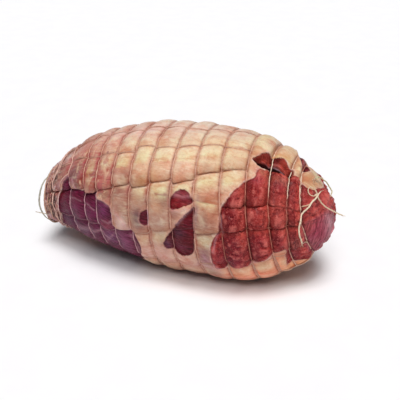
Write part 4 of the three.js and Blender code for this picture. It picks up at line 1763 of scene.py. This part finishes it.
class Graph:
    """Adds and links the nodes of one node tree."""

    def __init__(self, tree: bpy.types.NodeTree) -> None:
        """Keeps the tree that the nodes go into."""
        self.tree = tree

    def add(self, kind: str, inputs: dict | None = None, **settings: object) -> bpy.types.Node:
        """Adds one node.

        Args:
            kind: the node's type.
            inputs: values or sockets for its inputs, by name or number.
            settings: the node's own properties.

        Returns:
            The node.
        """
        node = self.tree.nodes.new(kind)
        for key, value in settings.items():
            setattr(node, key, value)
        for key, value in (inputs or {}).items():
            if isinstance(value, Socket):
                self.tree.links.new(value, node.inputs[key])
            else:
                node.inputs[key].default_value = value
        return node

    def math(self, operation: str, *values: object) -> Socket:
        """One step of arithmetic on sockets or numbers."""
        return self.add("ShaderNodeMath", dict(enumerate(values)), operation=operation).outputs[0]

    def mix(self, share: object, low: object, high: object, blend: str = "MIX") -> Socket:
        """Mixes two colours."""
        inputs = {0: share, 6: low, 7: high}
        return self.add("ShaderNodeMix", inputs, data_type="RGBA", blend_type=blend).outputs[2]

    def tinted(self, share: object, colour: object, tint: str) -> Socket:
        """Multiplies a colour by a tint, to a share."""
        return self.mix(share, colour, rgb(tint), Laying.STAIN.value)

    def layered(self, tone: object, patterns: dict, tints: tuple) -> Socket:
        """Lays tints over a tone, one after another.

        Args:
            tone: the tone under them.
            patterns: the sockets of patterns and masks, by name.
            tints: the tints, in order.

        Returns:
            The finished tone.
        """
        for tint in tints:
            share = self.ramp(patterns[tint.pattern], tint.start, tint.full, 0, tint.share)
            if tint.within:
                share = self.math("MULTIPLY", share, patterns[tint.within])
            tone = self.mix(share, tone, rgb(tint.colour), tint.laying.value)
        return tone

    def ramp(self, value: object, low: float, high: float, start: float = 0, end: float = 1) -> Socket:
        """Maps a value smoothly from one span to another."""
        inputs = {"Value": value, 1: low, 2: high, 3: start, 4: end}
        return self.add("ShaderNodeMapRange", inputs, interpolation_type="SMOOTHSTEP").outputs[0]

    def noise(self, vector: object, scale: float, detail: float = 2, warp: float = 0) -> Socket:
        """A noise texture's value."""
        inputs = {"Vector": vector, "Scale": scale, "Detail": detail, "Roughness": 0.6, "Distortion": warp}
        return self.add("ShaderNodeTexNoise", inputs).outputs["Fac"]

    def value(self, name: str) -> Socket:
        """A number that the mesh carries."""
        return self.add("ShaderNodeAttribute", attribute_name=name).outputs["Fac"]

    def vector(self, name: str) -> Socket:
        """A vector that the mesh carries."""
        return self.add("ShaderNodeAttribute", attribute_name=name).outputs["Vector"]

    def stretched(self, vector: object, sizes: tuple, turn: float) -> Socket:
        """Turns coordinates in the plane of the skin, then divides them by sizes."""
        inputs = {"Vector": vector, "Scale": sizes, "Rotation": (0.0, 0.0, turn)}
        return self.add("ShaderNodeMapping", inputs, vector_type="TEXTURE").outputs[0]


def rgb(colour: str) -> tuple:
    """A display colour as a node's four numbers."""
    return (*linear(colour), 1.0)


def new_material(name: str) -> tuple[bpy.types.Material, Graph, bpy.types.Node]:
    """Makes an empty material with one principled shader.

    Args:
        name: name of the material.

    Returns:
        The material, its graph and the shader.
    """
    material = bpy.data.materials.new(name)
    material.use_nodes = True
    material.node_tree.nodes.clear()
    graph = Graph(material.node_tree)
    shader = graph.add("ShaderNodeBsdfPrincipled")
    graph.add("ShaderNodeOutputMaterial", {"Surface": shader.outputs[0]})
    return material, graph, shader


@dataclass(frozen=True)
class MeatFinish:
    """Moist raw meat: soft fat, cut muscle and silverskin."""

    film: str = "dca8b0"
    subsurface: float = 0.08
    subsurface_radius: tuple = (0.004, 0.0015, 0.001)
    coat: float = 0.06
    coat_roughness: float = 0.2
    ior: float = 1.2
    bump_depth: float = 0.001

    def material(self) -> bpy.types.Material:
        """Builds the material.

        Returns:
            The material.
        """
        made, graph, shader = new_material("raw_meat")
        place = graph.add("ShaderNodeTexCoord").outputs["Object"]
        unrolled = graph.vector("unrolled")
        depth, shadowed = graph.value("lean"), graph.value("shadowed")
        edge = graph.noise(place, 320, 4)
        torn = graph.noise(graph.stretched(unrolled, (0.9, 0.16, 1.0), 0.7), 1.5, 4, 0.8)
        ragged = graph.math("MULTIPLY_ADD", graph.math("ADD", edge, torn), 1.5, -1.5)
        inside = graph.ramp(graph.math("ADD", depth, ragged), -0.5, 0.6)
        fat, fat_height = self.fat(graph, place, unrolled)
        fat = self.rimmed(graph, fat, depth, edge)
        lean, lean_height = self.lean(graph, place)
        # Painted shade just inside the edge of bare muscle, where it steps down from the fat.
        lean = graph.tinted(graph.ramp(depth, 0.2, 2.2, 0.3, 0.0), lean, "8c5058")
        colour = graph.mix(inside, fat, lean)
        film, film_height = self.film_mask(graph, unrolled)
        colour = graph.mix(film, colour, graph.mix(0.5, colour, rgb(self.film)))
        height = graph.add("ShaderNodeMix", {0: inside, 2: fat_height, 3: lean_height}).outputs[0]
        height = graph.math("ADD", height, film_height)
        bump = graph.add("ShaderNodeBump", {"Strength": 0.7, "Distance": self.bump_depth, "Height": height})
        rough = graph.math("MULTIPLY_ADD", edge, 0.3, 0.22)
        varying = {
            "Base Color": colour,
            "Roughness": graph.math("MAXIMUM", rough, graph.ramp(shadowed, 0.3, 0.6)),
            "Normal": bump.outputs[0],
            "Coat Weight": graph.ramp(shadowed, 0.3, 0.6, self.coat, 0.0),
        }
        for name, socket in varying.items():
            graph.tree.links.new(socket, shader.inputs[name])
        shader.inputs["IOR"].default_value = self.ior
        shader.inputs["Subsurface Weight"].default_value = self.subsurface
        shader.inputs["Subsurface Radius"].default_value = self.subsurface_radius
        shader.inputs["Coat Roughness"].default_value = self.coat_roughness
        return made

    def rimmed(self, graph: Graph, fat: object, depth: object, edge: object) -> Socket:
        """Colours the fat beside bare muscle: a pink rim, then a broken pale lip.

        Args:
            graph: the material's graph.
            fat: colour of the fat.
            depth: how far inside muscle each place lies.
            edge: fine noise that frays the rim and the lip.

        Returns:
            The colour of the fat with its rim and lip.
        """
        place = graph.add("ShaderNodeTexCoord").outputs["Object"]
        rim = graph.math("MULTIPLY", graph.ramp(depth, -2.4, -0.2), graph.ramp(edge, 0.35, 0.6, 0.2, 0.7))
        fat = graph.mix(rim, fat, graph.mix(0.5, fat, rgb("dc9890")))
        broken = graph.ramp(graph.noise(place, 95, 2), 0.44, 0.6)
        lip = graph.math("MULTIPLY", graph.ramp(depth, -1.3, -0.6), graph.ramp(edge, 0.4, 0.6))
        lip = graph.math("MULTIPLY", graph.math("MULTIPLY", lip, broken), graph.value("lipped"))
        return graph.mix(lip, fat, rgb("f4dcd0"))

    def fat(self, graph: Graph, place: object, unrolled: object) -> tuple:
        """Colour and height of the fat.

        Args:
            graph: the material's graph.
            place: object coordinates.
            unrolled: coordinates along the skin.

        Returns:
            The sockets of the colour and of the height.
        """
        vein = graph.math("SUBTRACT", graph.noise(place, 95, 3, 1.6), 0.5)
        patterns = {
            "cloud": graph.noise(place, 75, 4, 0.8),
            "patch": graph.noise(graph.stretched(unrolled, (1.3, 0.8, 1.0), 0.3), 1.0, 3, 0.6),
            "fine": graph.noise(place, 520, 3),
            "crumple": graph.noise(place, 170, 3, 1.4),
            "streak": graph.noise(graph.stretched(unrolled, (0.55, 1.2, 1.0), 0.15), 1.1, 3, 0.7),
            "wrinkle": graph.noise(graph.stretched(unrolled, (1.0, 0.28, 1.0), 0.1), 1.6, 4, 1.0),
            "line": graph.noise(graph.stretched(unrolled, (1.5, 0.13, 1.0), 0.06), 1.3, 4, 0.6),
            "vein": graph.math("ABSOLUTE", vein),
            "fold": graph.value("fold"),
            "bruised": graph.value("bruised"),
            "gathered": graph.value("gathered"),
        }
        tone = graph.layered(graph.vector("fat_tone"), patterns, FAT_TINTS)
        beside = graph.ramp(graph.value("seam"), 0.4, 2.4, 0.5, 0.0)
        stain = graph.math("MULTIPLY", beside, graph.ramp(patterns["cloud"], 0.25, 0.6, 0.3, 1.0))
        tone = graph.tinted(stain, tone, "d8988a")
        # Painted shade in the creases beside the strands.
        tone = graph.tinted(graph.value("crease_shade"), tone, "683830")
        grain = graph.math("MULTIPLY", patterns["fine"], 0.22)
        height = graph.math("MULTIPLY_ADD", patterns["wrinkle"], 1.3, grain)
        height = graph.math("MULTIPLY_ADD", patterns["line"], 0.7, height)
        crumpled = graph.math("MULTIPLY", patterns["crumple"], patterns["gathered"])
        return tone, graph.math("MULTIPLY_ADD", crumpled, 3.0, height)

    def lean(self, graph: Graph, place: object) -> tuple:
        """Colour and height of the muscle.

        Args:
            graph: the material's graph.
            place: object coordinates.

        Returns:
            The sockets of the colour and of the height.
        """
        bare = graph.vector("lean_tone")
        coarse = graph.value("grain")
        fibres = graph.vector("along_fibres")
        lump = graph.noise(place, 190, 5, 1.0)
        patterns = {
            "shaded_grain": graph.noise(place, 640, 3, 1.2),
            "fibre": graph.noise(graph.stretched(fibres, (1.2, 0.14, 1.0), 0.0), 1.5, 5, 0.5),
            "band": graph.noise(graph.stretched(fibres, (1.6, 0.4, 1.0), 0.0), 1.4, 3, 0.8),
            "lump_shade": graph.math("MULTIPLY_ADD", graph.math("SUBTRACT", lump, 0.5), 0.9, graph.value("lump")),
        }
        fine_grained = graph.layered(bare, patterns, FINE_GRAINED_TINTS)
        cut = graph.layered(bare, patterns, COARSE_TINTS)
        # Painted highlights on the peaks of the fine grain.
        pale = graph.mix(0.46, bare, rgb("f08478"))
        cut = graph.mix(graph.ramp(patterns["shaded_grain"], 0.54, 0.7, 0.0, 0.9), cut, pale)
        tone = graph.mix(coarse, fine_grained, cut)
        tone = graph.tinted(graph.ramp(graph.value("seam"), 0.3, 2.0, 0.35, 0.0), tone, "946068")
        # Painted shade in the creases beside the strands.
        tone = graph.tinted(graph.value("crease_shade"), tone, "581c24")
        tone = graph.tinted(graph.ramp(graph.value("shadowed"), 0.34, 0.58, 0.0, 0.98), tone, "280a0c")
        fine_height = graph.math("MULTIPLY", patterns["fibre"], 0.9)
        cut_height = graph.math("MULTIPLY", patterns["shaded_grain"], 0.6)
        cut_height = graph.math("MULTIPLY_ADD", lump, 2.2, cut_height)
        height = graph.add("ShaderNodeMix", {0: coarse, 2: fine_height, 3: cut_height})
        return tone, height.outputs[0]

    def film_mask(self, graph: Graph, unrolled: object) -> tuple:
        """Where silverskin shows, and its height.

        Args:
            graph: the material's graph.
            unrolled: coordinates along the skin.

        Returns:
            The sockets of the mask and of the height.
        """
        strand = graph.noise(graph.stretched(unrolled, (1.0, 0.2, 1.0), 0.7), 1.6, 4, 0.6)
        mask = graph.math("MULTIPLY", graph.value("film"), graph.ramp(strand, 0.25, 0.55, 0.35, 1.0))
        return mask, graph.math("MULTIPLY", mask, 0.8)


def strand_fibres() -> bpy.types.NodeTree:
    """Makes the node group for the fine fibres of twisted string.

    Returns:
        The group, which turns a run and a base colour into a colour and a height.
    """
    tree = bpy.data.node_groups.new("strand_fibres", "ShaderNodeTree")
    for name, way, kind in (
        ("Run", "INPUT", "NodeSocketFloat"),
        ("Base", "INPUT", "NodeSocketColor"),
        ("Contrast", "INPUT", "NodeSocketFloat"),
        ("Color", "OUTPUT", "NodeSocketColor"),
        ("Height", "OUTPUT", "NodeSocketFloat"),
    ):
        tree.interface.new_socket(name, in_out=way, socket_type=kind)
    graph = Graph(tree)
    given = graph.add("NodeGroupInput")
    place = graph.add("ShaderNodeTexCoord").outputs["Object"]
    fibre = graph.noise(place, 1500, 3, 0.4)
    blotch = graph.noise(place, 160, 2)
    ply = graph.math("SINE", graph.math("MULTIPLY", given.outputs["Run"], 2.7))
    dark = graph.tinted(1.0, given.outputs["Base"], "c0a090")
    worn = graph.math("ADD", graph.ramp(fibre, 0.35, 0.65), graph.ramp(blotch, 0.45, 0.7, 0.0, 0.6))
    colour = graph.mix(graph.math("MULTIPLY", worn, given.outputs["Contrast"]), given.outputs["Base"], dark)
    height = graph.math("MULTIPLY_ADD", ply, 0.2, fibre)
    graph.add("NodeGroupOutput", {"Color": colour, "Height": height})
    return tree


@dataclass(frozen=True)
class StringFinish:
    """Twisted cotton string, more or less soaked in juices."""

    name: str
    contrast: float
    roughness: float
    bump_depth: float = 0.0002

    def material(self, fibres: bpy.types.NodeTree) -> bpy.types.Material:
        """Builds the material around the shared fibre group.

        Args:
            fibres: the node group of fine fibres.

        Returns:
            The material.
        """
        made, graph, shader = new_material(self.name)
        inputs = {"Run": graph.value("run"), "Base": graph.vector("stain"), "Contrast": self.contrast}
        weave = graph.add("ShaderNodeGroup", inputs, node_tree=fibres)
        relief = {"Strength": 0.5, "Distance": self.bump_depth, "Height": weave.outputs["Height"]}
        bump = graph.add("ShaderNodeBump", relief)
        graph.tree.links.new(weave.outputs["Color"], shader.inputs["Base Color"])
        graph.tree.links.new(bump.outputs[0], shader.inputs["Normal"])
        shader.inputs["Roughness"].default_value = self.roughness
        return made


# ---------------------------------------------------------------- studio


@dataclass(frozen=True)
class SoftLight:
    """A soft distant light: turn about X, Y and Z in degrees, strength and softness."""

    name: str
    turn: tuple
    strength: float
    softness: float


@dataclass
class Studio:
    """Pale floor, soft light and the camera."""

    azimuth: float = 20
    elevation: float = 25
    distance: float = 661
    lens: float = 70
    target: tuple = (10.9, 0, 55.4)
    sensor_width: float = 36
    ambient: float = 0.1
    sky: tuple = (0.93, 0.97, 1.08)
    floor_reach: float = 6.0
    floor_roughness: float = 0.8
    floor_colours: tuple = ("f9f8f9", "fbfafb")
    lights: tuple = (
        SoftLight("key", (13, 0, 30), 1.35, 22),
        SoftLight("front", (36, 0, 12), 1.1, 24),
        SoftLight("overhead", (8, 0, 40), 0.65, 36),
        SoftLight("glint", (22, 0, 25), 0.15, 8),
    )

    def build(self) -> None:
        """Sets up the floor, the lights and the camera."""
        scene = bpy.context.scene
        scene.view_settings.view_transform = "Standard"
        scene.view_settings.look = "None"
        self.floor()
        for lamp in self.lights:
            self.light(lamp)
        world = bpy.data.worlds.new("studio")
        world.use_nodes = True
        backdrop = world.node_tree.nodes["Background"]
        graph = Graph(world.node_tree)
        seen = graph.add("ShaderNodeLightPath").outputs["Is Camera Ray"]
        graph.tree.links.new(graph.mix(seen, (*self.sky, 1.0), rgb("ffffff")), backdrop.inputs[0])
        strength = graph.math("MULTIPLY_ADD", seen, 1 - self.ambient, self.ambient)
        graph.tree.links.new(strength, backdrop.inputs[1])
        scene.world = world
        self.camera()

    def floor(self) -> None:
        """A plain pale floor that reaches past the view."""
        mesh = bpy.data.meshes.new("floor")
        reach = self.floor_reach
        corners = [(-reach, -reach, 0), (reach, -reach, 0), (reach, reach, 0), (-reach, reach, 0)]
        mesh.from_pydata(corners, [], [(0, 1, 2, 3)])
        floor = bpy.data.objects.new("floor", mesh)
        bpy.context.scene.collection.objects.link(floor)
        made, graph, shader = new_material("pale_floor")
        grain = graph.noise(graph.add("ShaderNodeTexCoord").outputs["Object"], 30)
        colour = graph.mix(graph.ramp(grain, 0.3, 0.7), *map(rgb, self.floor_colours))
        graph.tree.links.new(colour, shader.inputs["Base Color"])
        shader.inputs["Roughness"].default_value = self.floor_roughness
        shader.inputs["Specular IOR Level"].default_value = 0.0
        floor.data.materials.append(made)

    def light(self, soft: SoftLight) -> None:
        """Adds one soft distant light.

        Args:
            soft: the light.
        """
        lamp = bpy.data.lights.new(soft.name, "SUN")
        lamp.energy = soft.strength
        lamp.angle = math.radians(soft.softness)
        made = bpy.data.objects.new(soft.name, lamp)
        made.rotation_euler = tuple(math.radians(angle) for angle in soft.turn)
        bpy.context.scene.collection.objects.link(made)

    def camera(self) -> None:
        """Aims the camera at the joint."""
        turn, rise = math.radians(self.azimuth), math.radians(self.elevation)
        level = math.cos(rise)
        back = Vector((math.sin(turn) * level, -math.cos(turn) * level, math.sin(rise)))
        data = bpy.data.cameras.new("camera")
        data.lens = self.lens
        data.sensor_width = self.sensor_width
        camera = bpy.data.objects.new("camera", data)
        target = Vector(self.target) * MM
        camera.location = target + back * self.distance * MM
        camera.rotation_euler = back.to_track_quat("Z", "Y").to_euler()
        bpy.context.scene.collection.objects.link(camera)
        bpy.context.scene.camera = camera


def main() -> None:
    """Builds the joint, its net and its tie, and the studio."""
    logging.basicConfig(level=logging.INFO, format="%(name)s: %(message)s")
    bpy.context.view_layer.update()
    shape = JointShape()
    shape.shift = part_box("meat")[0].x / MM - shape.sections[0][0]
    skin = Skin(shape)
    Studio().build()
    meat = Meat(skin).build()
    dress(meat, MeatFinish().material(), "meat")
    fibres = strand_fibres()
    net = Netting(skin)
    thread = StringFinish("net_thread", 0.5, 0.55).material(fibres)
    for piece in (net.hoops(), net.rows()):
        dress(piece, thread, "netting")
    twine = StringFinish("tie_twine", 0.45, 0.75).material(fibres)
    dress(EndTie(skin).build(), twine, "end_tie")


if __name__ == "__main__":
    main()
